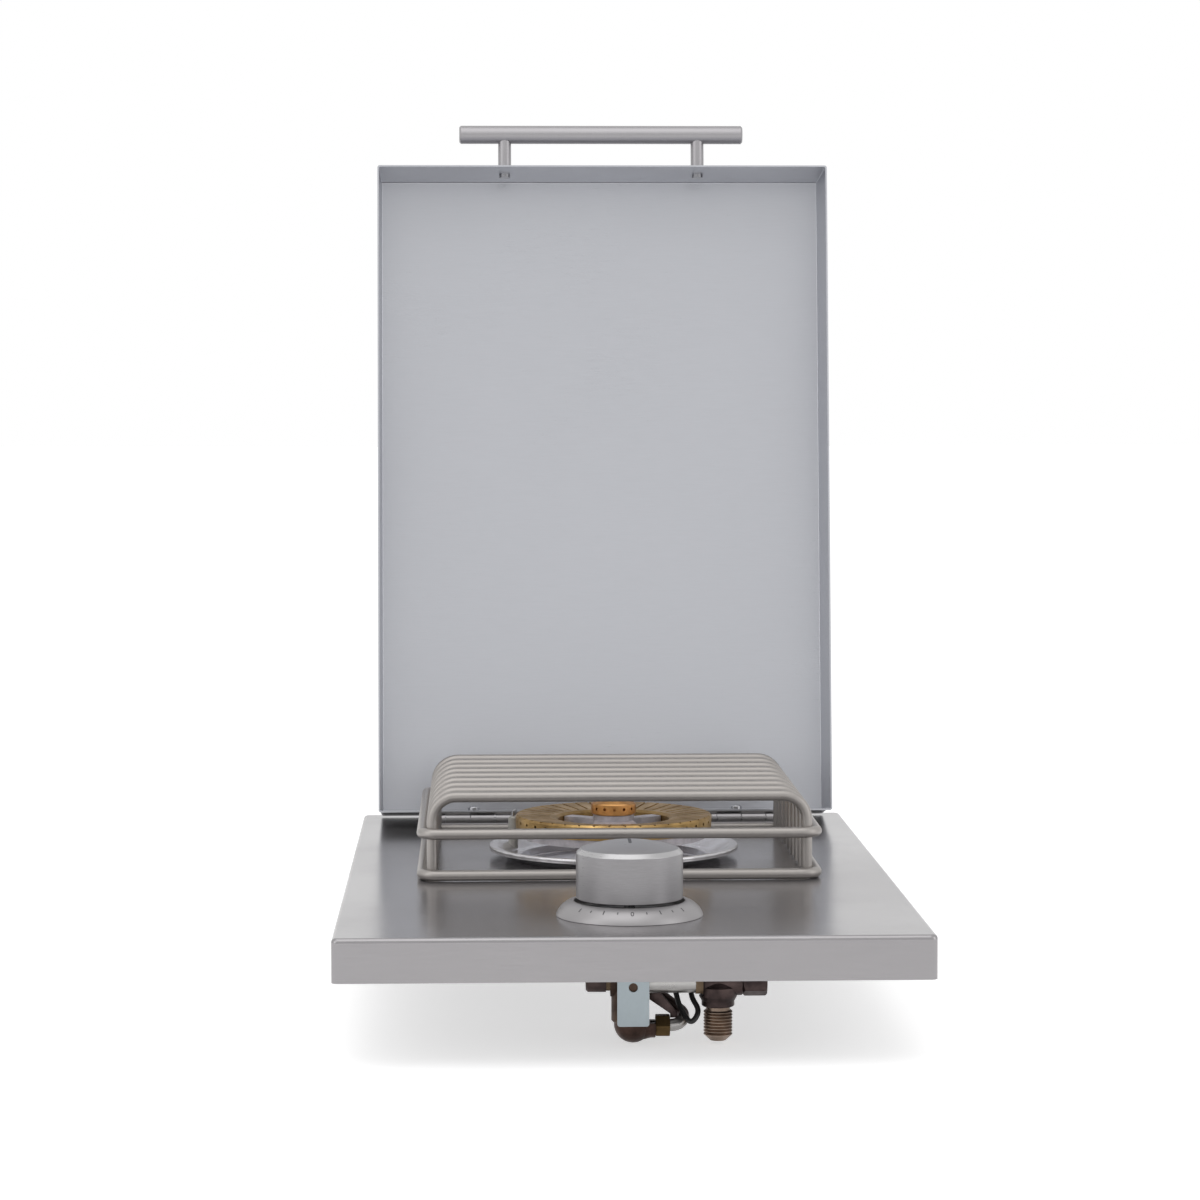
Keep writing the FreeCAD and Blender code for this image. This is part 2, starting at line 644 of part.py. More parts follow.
def valve_body():
    centre = Vec(0, KNOB_Y, 0)
    top = PANEL_LOW - VALVE_CAP_T
    low = PANEL_Z + VALVE_LOW_H
    z = PANEL_Z + MANIFOLD_H
    barrel = turned([(0, low), (VALVE_R - 1, low), (VALVE_R, low + 1), (VALVE_R, top - VALVE_TOP_T - 2),
                     (VALVE_TOP_R, top - VALVE_TOP_T), (VALVE_TOP_R, top), (0, top)], centre)
    boss = rod(BOSS_R, Vec(-BOSS_LEFT, KNOB_Y, z), Vec(BOSS_RIGHT, KNOB_Y, z))
    pad = box(BRACKET_X - VALVE_PAD_W / 2, BRACKET_X + VALVE_PAD_W / 2, KNOB_Y - VALVE_PAD_REACH, KNOB_Y,
              low + 2, PANEL_Z + BRACKET_TOP_H)
    body = fuse([barrel, boss, pad])
    bore = turned(plug_wall(RUN_FIT), centre)
    spring_room = rod(PLUG_R + 0.5, Vec(0, KNOB_Y, PANEL_Z + PLUG_TOP_H), Vec(0, KNOB_Y, top + 1))
    foot = rod(PLUG_R - PLUG_TAPER - 1, Vec(0, KNOB_Y, low - 1), Vec(0, KNOB_Y, PANEL_Z + PLUG_TOP_H - PLUG_LEN + 0.1))
    inlet = rod(PASSAGE_R, Vec(0, KNOB_Y, z), Vec(BOSS_RIGHT + 1, KNOB_Y, z))
    screw_y = KNOB_Y - VALVE_PAD_REACH
    tapped = rod(SCREW_R, Vec(BRACKET_X, screw_y - 1, PANEL_Z + BRACKET_SCREW_H),
                 Vec(BRACKET_X, screw_y + 3.5, PANEL_Z + BRACKET_SCREW_H))
    cuts = [bore, spring_room, foot, inlet, tapped]
    for side in (-1, 1):
        y = KNOB_Y + side * CAP_SCREW_DY
        cuts.append(rod(CAP_SCREW_R, Vec(0, y, top - 4), Vec(0, y, top + 1)))
    body = body.cut(fuse(cuts[:3])).cut(group(cuts[3:]))
    return body.cut(spark_module())


def valve_cap():
    # Bonnet plate under the panel that keeps the spring and takes the bezel screws
    top = PANEL_LOW
    y0, y1 = KNOB_Y - VALVE_CAP_W / 2, KNOB_Y + VALVE_CAP_W / 2
    plate = box(-VALVE_CAP_L / 2, VALVE_CAP_L / 2, y0, y1, top - VALVE_CAP_T, top)
    plate = plate.makeFillet(VALVE_CAP_W / 2 - 4, [e for e in plate.Edges if abs(e.tangentAt(0).z) > 0.9])
    cuts = [rod(STEM_R + RUN_FIT, Vec(0, KNOB_Y, top - VALVE_CAP_T - 1), Vec(0, KNOB_Y, top + 1))]
    for side in (-1, 1):
        x = side * BEZEL_SCREW_X
        y = KNOB_Y + side * CAP_SCREW_DY
        cuts.append(rod(SCREW_R, Vec(x, KNOB_Y, top - VALVE_CAP_T - 1), Vec(x, KNOB_Y, top + 1)))
        hole = rod(CAP_SCREW_R, Vec(0, y, top - VALVE_CAP_T - 1), Vec(0, y, top + 1))
        sink = rod(CAP_SCREW_R * 1.9, Vec(0, y, top - 1.8), Vec(0, y, top + 1))
        cuts.append(hole.fuse(sink))
    return plate.cut(group(cuts))


def valve_cap_screws():
    top = PANEL_LOW
    screws = []
    for side in (-1, 1):
        y = KNOB_Y + side * CAP_SCREW_DY
        shank = rod(CAP_SCREW_R, Vec(0, y, top - VALVE_CAP_T - 3.6), Vec(0, y, top - 1.8))
        head = rod(CAP_SCREW_R * 1.9, Vec(0, y, top - 1.8), Vec(0, y, top - 0.3))
        slot = box(-CAP_SCREW_R * 2, CAP_SCREW_R * 2, y - 0.4, y + 0.4, top - 1.0, top)
        screws.append(fuse([shank, head]).cut(slot))
    return group(screws)


def valve_plug():
    # Brass taper plug with a drive slot and a cross passage
    plug = turned(plug_wall(0), Vec(0, KNOB_Y, 0))
    top = PANEL_Z + PLUG_TOP_H
    slot = box(-PLUG_SLOT_W / 2, PLUG_SLOT_W / 2, KNOB_Y - TONGUE_W / 2 - 0.3, KNOB_Y + TONGUE_W / 2 + 0.3,
               top - PLUG_SLOT_D, top + 1)
    z = PANEL_Z + MANIFOLD_H
    way = rod(PASSAGE_R, Vec(0, KNOB_Y, z), Vec(0, KNOB_Y + PLUG_R + 1, z))
    well = rod(PASSAGE_R, Vec(0, KNOB_Y, top - PLUG_LEN - 1), Vec(0, KNOB_Y, z))
    return plug.cut(slot).cut(fuse([way, well]))


def valve_stem():
    top = PANEL_Z + STEM_TOP_H
    base = PANEL_Z + PLUG_TOP_H + KNOB_PUSH + MOVE_GAP
    collar = PANEL_LOW - VALVE_CAP_T - SEAT_GAP
    shaft = rod(STEM_R, Vec(0, KNOB_Y, base), Vec(0, KNOB_Y, top))
    flat = box(-STEM_R, STEM_R, KNOB_Y + STEM_R - STEM_FLAT, KNOB_Y + STEM_R + 1, PANEL_Z + KNOB_LOW_H + KNOB_HUB_LOW - 3, top + 1)
    shaft = shaft.cut(flat)
    ring = rod(STEM_COLLAR_R, Vec(0, KNOB_Y, collar - STEM_COLLAR_T), Vec(0, KNOB_Y, collar))
    thick = PLUG_SLOT_W - 2 * RUN_FIT
    tongue = box(-thick / 2, thick / 2, KNOB_Y - TONGUE_W / 2, KNOB_Y + TONGUE_W / 2,
                 PANEL_Z + PLUG_TOP_H - TONGUE_D, base + 0.5)
    lower = rod(STEM_R - 0.3, Vec(0, KNOB_Y, base - 0.2), Vec(0, KNOB_Y, base + 3))
    return fuse([shaft, ring, tongue, lower])


def stem_spring():
    # Return spring between the plug and the stem collar
    low = PANEL_Z + PLUG_TOP_H + SPRING_WIRE
    top = PANEL_LOW - VALVE_CAP_T - SEAT_GAP - STEM_COLLAR_T - SPRING_WIRE
    pitch = (top - low) / SPRING_TURNS
    helix = Part.makeHelix(pitch, top - low, SPRING_R)
    first = helix.Edges[0]
    ring = Part.Wire(Part.makeCircle(SPRING_WIRE, Vec(SPRING_R, 0, 0), first.tangentAt(first.FirstParameter)))
    coil = Part.Wire(helix.Edges).makePipeShell([ring], True, True)
    coil.translate(Vec(0, KNOB_Y, low))
    return coil


def knob():
    low = PANEL_Z + KNOB_LOW_H
    top = low + KNOB_H
    centre = Vec(0, KNOB_Y, 0)
    body = turned([(KNOB_R - KNOB_WALL, low), (KNOB_R, low), (KNOB_R, top - KNOB_CHAMFER_H),
                   (KNOB_R - KNOB_CHAMFER_W, top - 0.4), (KNOB_R - KNOB_CHAMFER_W - 0.5, top), (0, top),
                   (0, low + KNOB_HUB_LOW), (KNOB_HUB_R, low + KNOB_HUB_LOW), (KNOB_HUB_R, top - KNOB_CROWN),
                   (KNOB_R - KNOB_WALL, top - KNOB_CROWN)], centre)
    socket = rod(STEM_R, Vec(0, KNOB_Y, low), Vec(0, KNOB_Y, PANEL_Z + STEM_TOP_H))
    key = box(-STEM_R, STEM_R, KNOB_Y + STEM_R - STEM_FLAT, KNOB_Y + STEM_R + 1, low - 1, top)
    return body.cut(socket.cut(key)).cut(mark_bar(MARK_D + 1))


def mark_bar(height):
    top = PANEL_Z + KNOB_LOW_H + KNOB_H
    y1 = KNOB_Y + KNOB_R - MARK_EDGE
    return box(-MARK_W / 2, MARK_W / 2, y1 - MARK_L, y1, top - MARK_D, top - MARK_D + height)


def knob_indicator():
    return mark_bar(MARK_D)


def bezel():
    # Coned ring with a dished floor that the knob skirt sinks into
    base = BEZEL_R - BEZEL_BASE_W
    ring = turned([(BEZEL_R, 0), (BEZEL_TOP_R + 0.3, BEZEL_H - 0.3), (BEZEL_TOP_R, BEZEL_H), (BEZEL_DISH_R, BEZEL_H),
                   (BEZEL_DISH_R, BEZEL_FLOOR_H), (BEZEL_HOLE_R, BEZEL_FLOOR_H), (BEZEL_HOLE_R, BEZEL_FLOOR_H - BEZEL_T),
                   (BEZEL_DISH_R + BEZEL_T, BEZEL_FLOOR_H - BEZEL_T), (BEZEL_DISH_R + BEZEL_T, BEZEL_H - BEZEL_T),
                   (BEZEL_DISH_R + BEZEL_T + 0.3, BEZEL_H - BEZEL_T), (base, 0)], Vec(0, KNOB_Y, PANEL_Z))
    feet = []
    holes = []
    for side in (-1, 1):
        x = side * BEZEL_SCREW_X
        feet.append(rod(HEAD_R + 0.6, Vec(x, KNOB_Y, PANEL_Z), Vec(x, KNOB_Y, PANEL_Z + BEZEL_FLOOR_H)))
        holes.append(rod(SCREW_R + HOLE_GAP, Vec(x, KNOB_Y, PANEL_Z - 1), Vec(x, KNOB_Y, PANEL_Z + BEZEL_H)))
    return fuse([ring] + feet).cut(group(holes))


def bezel_screws():
    z = PANEL_Z + BEZEL_FLOOR_H
    length = BEZEL_FLOOR_H + TRAY_T + VALVE_CAP_T
    return group([machine_screw(side * BEZEL_SCREW_X, KNOB_Y, z, length) for side in (-1, 1)])


def valve_bracket():
    y1 = KNOB_Y - VALVE_PAD_REACH
    x0, x1 = BRACKET_X - BRACKET_W / 2, BRACKET_X + BRACKET_W / 2
    plate = box(x0, x1, y1 - BRACKET_T, y1, PANEL_Z + BRACKET_LOW_H, PANEL_Z + BRACKET_TOP_H)
    plate = plate.makeFillet(1.5, [e for e in plate.Edges if abs(e.tangentAt(0).y) > 0.9])
    cuts = []
    for height, radius in ((BRACKET_HOLE_H, BRACKET_HOLE_R), (BRACKET_SCREW_H, SCREW_R)):
        place = Vec(BRACKET_X, y1 - BRACKET_T - 1, PANEL_Z + height)
        cuts.append(rod(radius, place, place + AXIS_Y * (BRACKET_T + 2)))
    return plate.cut(group(cuts))


def bracket_screw():
    y = KNOB_Y - VALVE_PAD_REACH - BRACKET_T
    place = Vec(BRACKET_X, y, PANEL_Z + BRACKET_SCREW_H)
    return fuse([rod(HEAD_R, place, place - AXIS_Y * HEAD_H), rod(SCREW_R, place, place + AXIS_Y * (BRACKET_T + 3.2))])


def end_plug():
    z = PANEL_Z + MANIFOLD_H
    x = -BOSS_LEFT - SEAL_LEN
    body = turned([(0, 0), (END_PLUG_R, 0), (END_PLUG_R, END_PLUG_LEN - 1.2), (END_PLUG_R - 1.2, END_PLUG_LEN),
                   (0, END_PLUG_LEN)], Vec(x, KNOB_Y, z), Vec(-1, 0, 0))
    stub = rod(SEAL_R - 1.5, Vec(x, KNOB_Y, z), Vec(-BOSS_LEFT, KNOB_Y, z))
    key = hexagon(5.0, Vec(x - END_PLUG_LEN - 1, KNOB_Y, z), Vec(x - END_PLUG_LEN + 4, KNOB_Y, z))
    return fuse([body, stub]).cut(key)


def pipe_seals():
    # Sealing compound squeezed out at the two threaded joints
    z = PANEL_Z + MANIFOLD_H
    x = -BOSS_LEFT - SEAL_LEN
    left = rod(SEAL_R, Vec(x, KNOB_Y, z), Vec(-BOSS_LEFT, KNOB_Y, z))
    left = left.cut(rod(SEAL_R - 1.5, Vec(x - 1, KNOB_Y, z), Vec(-BOSS_LEFT + 1, KNOB_Y, z)))
    end = BOSS_RIGHT + TUBE_LEN
    right = rod(TUBE_SEAL_R, Vec(end, KNOB_Y, z), Vec(end + TUBE_SEAL_LEN, KNOB_Y, z))
    right = right.cut(rod(TUBE_R, Vec(end - 1, KNOB_Y, z), Vec(end + TUBE_SEAL_LEN + 1, KNOB_Y, z)))
    return group([left, right])


def manifold_tube():
    z = PANEL_Z + MANIFOLD_H
    end = BOSS_RIGHT + TUBE_LEN + TUBE_SEAL_LEN
    tube = rod(TUBE_R, Vec(BOSS_RIGHT, KNOB_Y, z), Vec(end, KNOB_Y, z))
    return tube.cut(rod(TUBE_R - TUBE_T, Vec(BOSS_RIGHT - 1, KNOB_Y, z), Vec(end + 1, KNOB_Y, z)))


def tee_start():
    return BOSS_RIGHT + TUBE_LEN + TUBE_SEAL_LEN


def flare_x():
    return tee_start() + TEE_R + 0.6


def inlet_tee():
    z = PANEL_Z + MANIFOLD_H
    x0 = tee_start()
    run = turned([(0, 0), (TEE_R - 0.8, 0), (TEE_R, 0.8), (TEE_R, TEE_LEN - 0.8), (TEE_R - 0.8, TEE_LEN), (0, TEE_LEN)],
                 Vec(x0, KNOB_Y, z), AXIS_X)
    branch = turned([(0, -TEE_DROP), (TEE_NECK_R - 0.6, -TEE_DROP), (TEE_NECK_R, -TEE_DROP + 0.6), (TEE_NECK_R, -TEE_DROP + 3),
                     (TEE_BRANCH_R, -TEE_DROP + 5.5), (TEE_BRANCH_R, -3), (TEE_R, 0), (0, 0)], Vec(flare_x(), KNOB_Y, z))
    trim = box(x0 - TEE_BRANCH_R, x0, KNOB_Y - 20, KNOB_Y + 20, z - TEE_R, z + 20)
    branch = branch.cut(trim)
    bore = rod(TUBE_R - TUBE_T, Vec(x0 - 1, KNOB_Y, z), Vec(x0 + TEE_LEN - 3, KNOB_Y, z))
    drop = rod(FLARE_BORE_R, Vec(flare_x(), KNOB_Y, z), Vec(flare_x(), KNOB_Y, z - TEE_DROP - 1))
    return fuse([run, branch]).cut(fuse([bore, drop]))


def tee_plug():
    z = PANEL_Z + MANIFOLD_H
    x = tee_start() + TEE_LEN
    cap = hexagon(TEE_PLUG_AF, Vec(x, KNOB_Y, z), Vec(x + TEE_PLUG_LEN, KNOB_Y, z))
    turnout = turned([(0, 0), (TEE_PLUG_AF / 2, 0), (TEE_PLUG_AF / 2 + 0.9, 0.9), (TEE_PLUG_AF / 2 + 0.9, TEE_PLUG_LEN - 0.9),
                      (TEE_PLUG_AF / 2, TEE_PLUG_LEN), (0, TEE_PLUG_LEN)], Vec(x, KNOB_Y, z), AXIS_X)
    return cap.common(turnout)


def inlet_flare_fitting():
    # Male flare nipple: threaded barrel with the cone seat below
    top = PANEL_Z + MANIFOLD_H - TEE_DROP
    points = [(FLARE_BORE_R, 0), (FLARE_NECK_R, 0), (FLARE_NECK_R, -FLARE_NECK_LEN)]
    z = -FLARE_NECK_LEN
    for i in range(THREAD_TURNS):
        points += [(FLARE_R - THREAD_DEPTH, z), (FLARE_R, z - THREAD_PITCH * 0.4), (FLARE_R, z - THREAD_PITCH * 0.6)]
        z -= THREAD_PITCH
    points += [(FLARE_R - THREAD_DEPTH, z), (FLARE_BORE_R + 0.8, z - FLARE_CONE), (FLARE_BORE_R, z - FLARE_CONE)]
    return turned(points, Vec(flare_x(), KNOB_Y, top))


def outlet_elbow():
    centre = Vec(ELBOW_X, KNOB_Y, PANEL_Z + ELBOW_H)
    ball = Part.makeSphere(ELBOW_R, centre)
    top = PANEL_Z + VALVE_LOW_H
    ball = ball.cut(box(-30, 30, KNOB_Y - 30, KNOB_Y + 30, top, top + 30))
    arm = turned([(0, 0), (ELBOW_R - 1.2, 0), (ELBOW_ARM_R, ELBOW_ARM_X - ELBOW_X - 2.5), (ELBOW_ARM_R, ELBOW_ARM_X - ELBOW_X),
                  (0, ELBOW_ARM_X - ELBOW_X)], centre - AXIS_Z, AXIS_X)
    arm = arm.cut(box(-30, 30, KNOB_Y - 30, KNOB_Y + 30, top, top + 30))
    bore = fuse([rod(PASSAGE_R, Vec(0, KNOB_Y, centre.z - 1), Vec(0, KNOB_Y, top + 1)),
                 rod(PASSAGE_R, Vec(0, KNOB_Y, centre.z - 1), Vec(ELBOW_ARM_X + 1, KNOB_Y, centre.z - 1))])
    return fuse([ball, arm]).cut(bore)


def union_z():
    return PANEL_Z + ELBOW_H - 1


def union_nut():
    nut = hexagon(UNION_AF, Vec(ELBOW_ARM_X, KNOB_Y, union_z()), Vec(ELBOW_ARM_X + UNION_LEN, KNOB_Y, union_z()))
    return nut.cut(rod(PASSAGE_R + 0.6, Vec(ELBOW_ARM_X - 1, KNOB_Y, union_z()), Vec(ELBOW_ARM_X + UNION_LEN + 1, KNOB_Y, union_z())))


def orifice_y():
    return MOUTH_Y - ORIFICE_GAP


def gas_tube():
    # Supply tube from the outlet union back and up to the gas jet
    z = union_z()
    x = ELBOW_ARM_X + UNION_LEN
    out = x + GAS_TUBE_OUT
    back = orifice_y() - ORIFICE_LEN
    level = venturi_z()
    turn = back - GAS_TUBE_RUN
    points = [Vec(x, KNOB_Y, z), Vec(out, KNOB_Y, z), Vec(out, turn, z), Vec(out, turn, level)]
    points += [Vec(0, turn, level), Vec(0, back, level)]
    return bent_rod(points, GAS_TUBE_BEND, GAS_TUBE_R)


def gas_orifice():
    z = venturi_z()
    y = orifice_y()
    body = hexagon(ORIFICE_AF, Vec(0, y - ORIFICE_LEN, z), Vec(0, y, z))
    nose = turned([(0, 0), (ORIFICE_NOSE_R, 0), (ORIFICE_NOSE_R, ORIFICE_NOSE_LEN - 1.5), (1.2, ORIFICE_NOSE_LEN), (0, ORIFICE_NOSE_LEN)],
                  Vec(0, y, z), AXIS_Y)
    return fuse([body, nose]).cut(rod(0.7, Vec(0, y - 2, z), Vec(0, y + ORIFICE_NOSE_LEN + 1, z)))


def air_shutter():
    # Slotted sleeve on the mouth with a cross web that holds the jet
    z = venturi_z()
    y0 = orifice_y()
    sleeve = rod(MOUTH_R + SHUTTER_T, Vec(0, y0, z), Vec(0, MOUTH_Y + SHUTTER_LEN, z))
    sleeve = sleeve.cut(rod(MOUTH_R, Vec(0, y0 + SHUTTER_T, z), Vec(0, MOUTH_Y + SHUTTER_LEN + 1, z)))
    sleeve = sleeve.cut(rod(ORIFICE_NOSE_R, Vec(0, y0 - 1, z), Vec(0, y0 + 3, z)))
    slots = []
    for i in range(SHUTTER_SLOTS):
        slot = box(-SHUTTER_SLOT_W / 2, SHUTTER_SLOT_W / 2, y0 - 1, y0 + SHUTTER_T + 1, 4.4, MOUTH_R - 0.8)
        slot.rotate(Vec(0, 0, 0), AXIS_Y, 360.0 * (i + 0.5) / SHUTTER_SLOTS)
        slot.translate(Vec(0, 0, z))
        slots.append(slot)
    return sleeve.cut(group(slots))


def tube_strip():
    # Flat strip that ties the gas tube to the manifold
    z0 = PANEL_Z + MANIFOLD_H - TUBE_R + 1.0
    x0 = BOSS_RIGHT + 0.5
    x1 = ELBOW_ARM_X + UNION_LEN + 9.0
    z1 = union_z() + 1.0
    y0 = KNOB_Y + 1.5
    shape = [Vec(x0, y0, z0), Vec(x0 + ARM_STRIP_W, y0, z0), Vec(x1, y0, z1 + ARM_STRIP_W * 0.6)]
    shape += [Vec(x1, y0, z1), Vec(x1 - ARM_STRIP_W, y0, z1), Vec(x0, y0, z0 - 5.0)]
    strip = Part.Face(Part.makePolygon(shape + shape[:1])).extrude(AXIS_Y * ARM_STRIP_T)
    pipe = rod(TUBE_R, Vec(0, KNOB_Y, PANEL_Z + MANIFOLD_H), Vec(tee_start(), KNOB_Y, PANEL_Z + MANIFOLD_H))
    nut = hexagon(UNION_AF, Vec(ELBOW_ARM_X, KNOB_Y, union_z()), Vec(ELBOW_ARM_X + UNION_LEN, KNOB_Y, union_z()))
    return strip.cut(pipe).cut(nut).cut(gas_tube()).cut(outlet_elbow())


def grate_ring(height):
    x = GRATE_RING_W / 2 - WIRE_R
    y = GRATE_RING_L / 2 - WIRE_R
    z = PANEL_Z + height
    corners = [Vec(-x, GRATE_Y - y, z), Vec(x, GRATE_Y - y, z), Vec(x, GRATE_Y + y, z), Vec(-x, GRATE_Y + y, z)]
    ring = bent_rod(corners, GRATE_RING_BEND, WIRE_R, True)
    return ring.cut(grate_bars())


def hoop_x():
    return GRATE_RING_W / 2 - 3 * WIRE_R + WELD_SINK


def grate_bars():
    # Nine hoops bent from round wire
    low = PANEL_Z + SEAT_GAP + WIRE_R
    top = PANEL_Z + GRATE_H - WIRE_R
    x = hoop_x()
    hoops = []
    for i in range(GRATE_HOOPS):
        y = GRATE_Y + (i - (GRATE_HOOPS - 1) / 2) * GRATE_PITCH
        points = [Vec(-x, y, low), Vec(-x, y, top), Vec(x, y, top), Vec(x, y, low)]
        hoops.append(bent_rod(points, GRATE_HOOP_BEND, WIRE_R))
    return group(hoops)


def knuckles(first):
    step = HINGE_LEN / HINGE_KNUCKLES
    spans = []
    for i in range(first, HINGE_KNUCKLES, 2):
        x0 = -HINGE_LEN / 2 + i * step
        spans.append((x0 + LEAF_GAP / 2, x0 + step - LEAF_GAP / 2))
    return spans


def hinge_leaf(first, bore):
    # Leaf lying flat on z = 0 with its knuckles above it, hinge axis along X
    pieces = [box(-HINGE_LEN / 2, HINGE_LEN / 2, LEAF_TONGUE, LEAF_REACH, 0, LEAF_T)]
    axis = LEAF_T + KNUCKLE_R
    for x0, x1 in knuckles(first):
        pieces.append(box(x0, x1, -HINGE_FOOT / 2, LEAF_TONGUE + 1, 0, LEAF_T))
        pieces.append(box(x0, x1, -HINGE_FOOT / 2, HINGE_FOOT / 2, LEAF_T / 2, LEAF_T + 0.9))
        pieces.append(rod(KNUCKLE_R, Vec(x0, 0, axis), Vec(x1, 0, axis)))
    leaf = fuse(pieces)
    cuts = [rod(bore, Vec(-HINGE_LEN, 0, axis), Vec(HINGE_LEN, 0, axis))]
    for x in HINGE_SCREW_XS:
        cuts.append(rod(SCREW_R + HOLE_GAP, Vec(x, LEAF_SCREW_AT, -1), Vec(x, LEAF_SCREW_AT, LEAF_T + 1)))
    return leaf.cut(group(cuts))


def swing(shape):
    shape.rotate(Vec(0, HINGE_Y, HINGE_Z), AXIS_X, -LID_OPEN)
    return shape


def on_back_wall(shape):
    # Stand a flat piece against the outside of the closed lid's back wall
    shape.rotate(Vec(0, 0, 0), AXIS_X, 90)
    shape.rotate(Vec(0, 0, 0), AXIS_Z, 180)
    shape.translate(Vec(0, LID_BACK_Y, HINGE_Z))
    return swing(shape)


def hinge_leaf_tray():
    leaf = hinge_leaf(0, PIN_R)
    leaf.translate(Vec(0, HINGE_Y, PANEL_Z))
    return leaf


def hinge_leaf_lid():
    return on_back_wall(hinge_leaf(1, PIN_R + RUN_FIT))


def hinge_pin():
    x = HINGE_LEN / 2
    return rod(PIN_R, Vec(-x, HINGE_Y, HINGE_Z), Vec(x, HINGE_Y, HINGE_Z))


def hinge_tray_screws():
    y = HINGE_Y + LEAF_SCREW_AT
    screws = []
    for x in HINGE_SCREW_XS:
        screws.append(machine_screw(x, y, PANEL_Z + LEAF_T, LEAF_T + TRAY_T + NUT_H + 0.6, True, PANEL_LOW))
    return group(screws)


def hinge_lid_screws():
    screws = []
    for x in HINGE_SCREW_XS:
        screws.append(machine_screw(x, LEAF_SCREW_AT, -LID_T, LID_T + LEAF_T + NUT_H + 0.4, False, LEAF_T))
    return on_back_wall(group(screws))


def lid_box(inset):
    x = LID_W / 2 - inset
    top = LID_RIM_Z + LID_D - inset
    low = LID_RIM_Z - (1 if inset else 0)
    shape = box(-x, x, LID_FRONT_Y + inset, LID_BACK_Y - inset, low, top)
    uprights = [e for e in shape.Edges if abs(e.tangentAt(0).z) > 0.9]
    shape = shape.makeFillet(LID_CORNER_R - inset, uprights)
    rims = [e for e in shape.Edges if e.BoundBox.ZMin > top - 0.01]
    return shape.makeFillet(LID_EDGE_R - inset, rims)


def lid_shell():
    lid = lid_box(0).cut(lid_box(LID_T))
    cuts = []
    for side in (-1, 1):
        place = Vec(side * HANDLE_PITCH / 2, LID_FRONT_Y - 1, LID_RIM_Z + HANDLE_UP)
        cuts.append(rod(SCREW_R + HOLE_GAP, place, place + AXIS_Y * (LID_T + 2)))
    for x in HINGE_SCREW_XS:
        place = Vec(x, LID_BACK_Y - LID_T - 1, HINGE_Z + LEAF_SCREW_AT)
        cuts.append(rod(SCREW_R + HOLE_GAP, place, place + AXIS_Y * (LID_T + 2)))
    return swing(lid.cut(group(cuts)))


def handle_line():
    return LID_FRONT_Y - HANDLE_OUT, LID_RIM_Z + HANDLE_UP


def handle_bar():
    y, z = handle_line()
    half = HANDLE_LEN / 2
    bar = turned([(0, -half), (HANDLE_R - HANDLE_END, -half), (HANDLE_R, -half + HANDLE_END),
                  (HANDLE_R, half - HANDLE_END), (HANDLE_R - HANDLE_END, half), (0, half)], Vec(0, y, z), AXIS_X)
    return swing(bar)


def handle_posts():
    y, z = handle_line()
    bar = rod(HANDLE_R, Vec(-HANDLE_LEN / 2, y, z), Vec(HANDLE_LEN / 2, y, z))
    posts = []
    for side in (-1, 1):
        x = side * HANDLE_PITCH / 2
        post = rod(POST_R, Vec(x, y, z), Vec(x, LID_FRONT_Y, z))
        foot = rod(POST_FOOT_R, Vec(x, LID_FRONT_Y - POST_FOOT_T, z), Vec(x, LID_FRONT_Y, z))
        tapped = rod(SCREW_R, Vec(x, LID_FRONT_Y - 10, z), Vec(x, LID_FRONT_Y + 1, z))
        posts.append(fuse([post, foot]).cut(bar).cut(tapped))
    return swing(group(posts))


def handle_screws():
    y = LID_FRONT_Y + LID_T
    z = LID_RIM_Z + HANDLE_UP
    screws = []
    for side in (-1, 1):
        place = Vec(side * HANDLE_PITCH / 2, y, z)
        head = rod(HEAD_R, place, place + AXIS_Y * HEAD_H)
        screws.append(fuse([head, rod(SCREW_R, place, place - AXIS_Y * (LID_T + 9))]))
    return swing(group(screws))


NODES = [top_tray, burner_support, support_screws, drip_bowl, burner_base, burner_mount_screws,
         outer_burner_ring, center_burner_cap, igniter_insulator, igniter_electrode, igniter_clip,
         ignition_lead, spark_module, valve_body, valve_cap, valve_cap_screws, valve_plug, valve_stem,
         stem_spring, knob, knob_indicator, bezel, bezel_screws, valve_bracket, bracket_screw,
         manifold_tube, pipe_seals, end_plug, inlet_tee, tee_plug, inlet_flare_fitting, outlet_elbow,
         union_nut, gas_tube, gas_orifice, air_shutter, tube_strip, grate_bars, lid_shell, handle_bar,
         handle_posts, handle_screws, hinge_leaf_tray, hinge_leaf_lid, hinge_pin, hinge_tray_screws,
         hinge_lid_screws]

os.makedirs("parts", exist_ok=True)
for make in NODES:
    make().exportStep("parts/" + make.__name__ + ".step")
grate_ring(SEAT_GAP + WIRE_R).exportStep("parts/grate_lower_ring.step")
grate_ring(GRATE_UPPER_H).exportStep("parts/grate_upper_ring.step")
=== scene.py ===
import json
import math

import bpy
import bmesh
from mathutils import Matrix, Vector


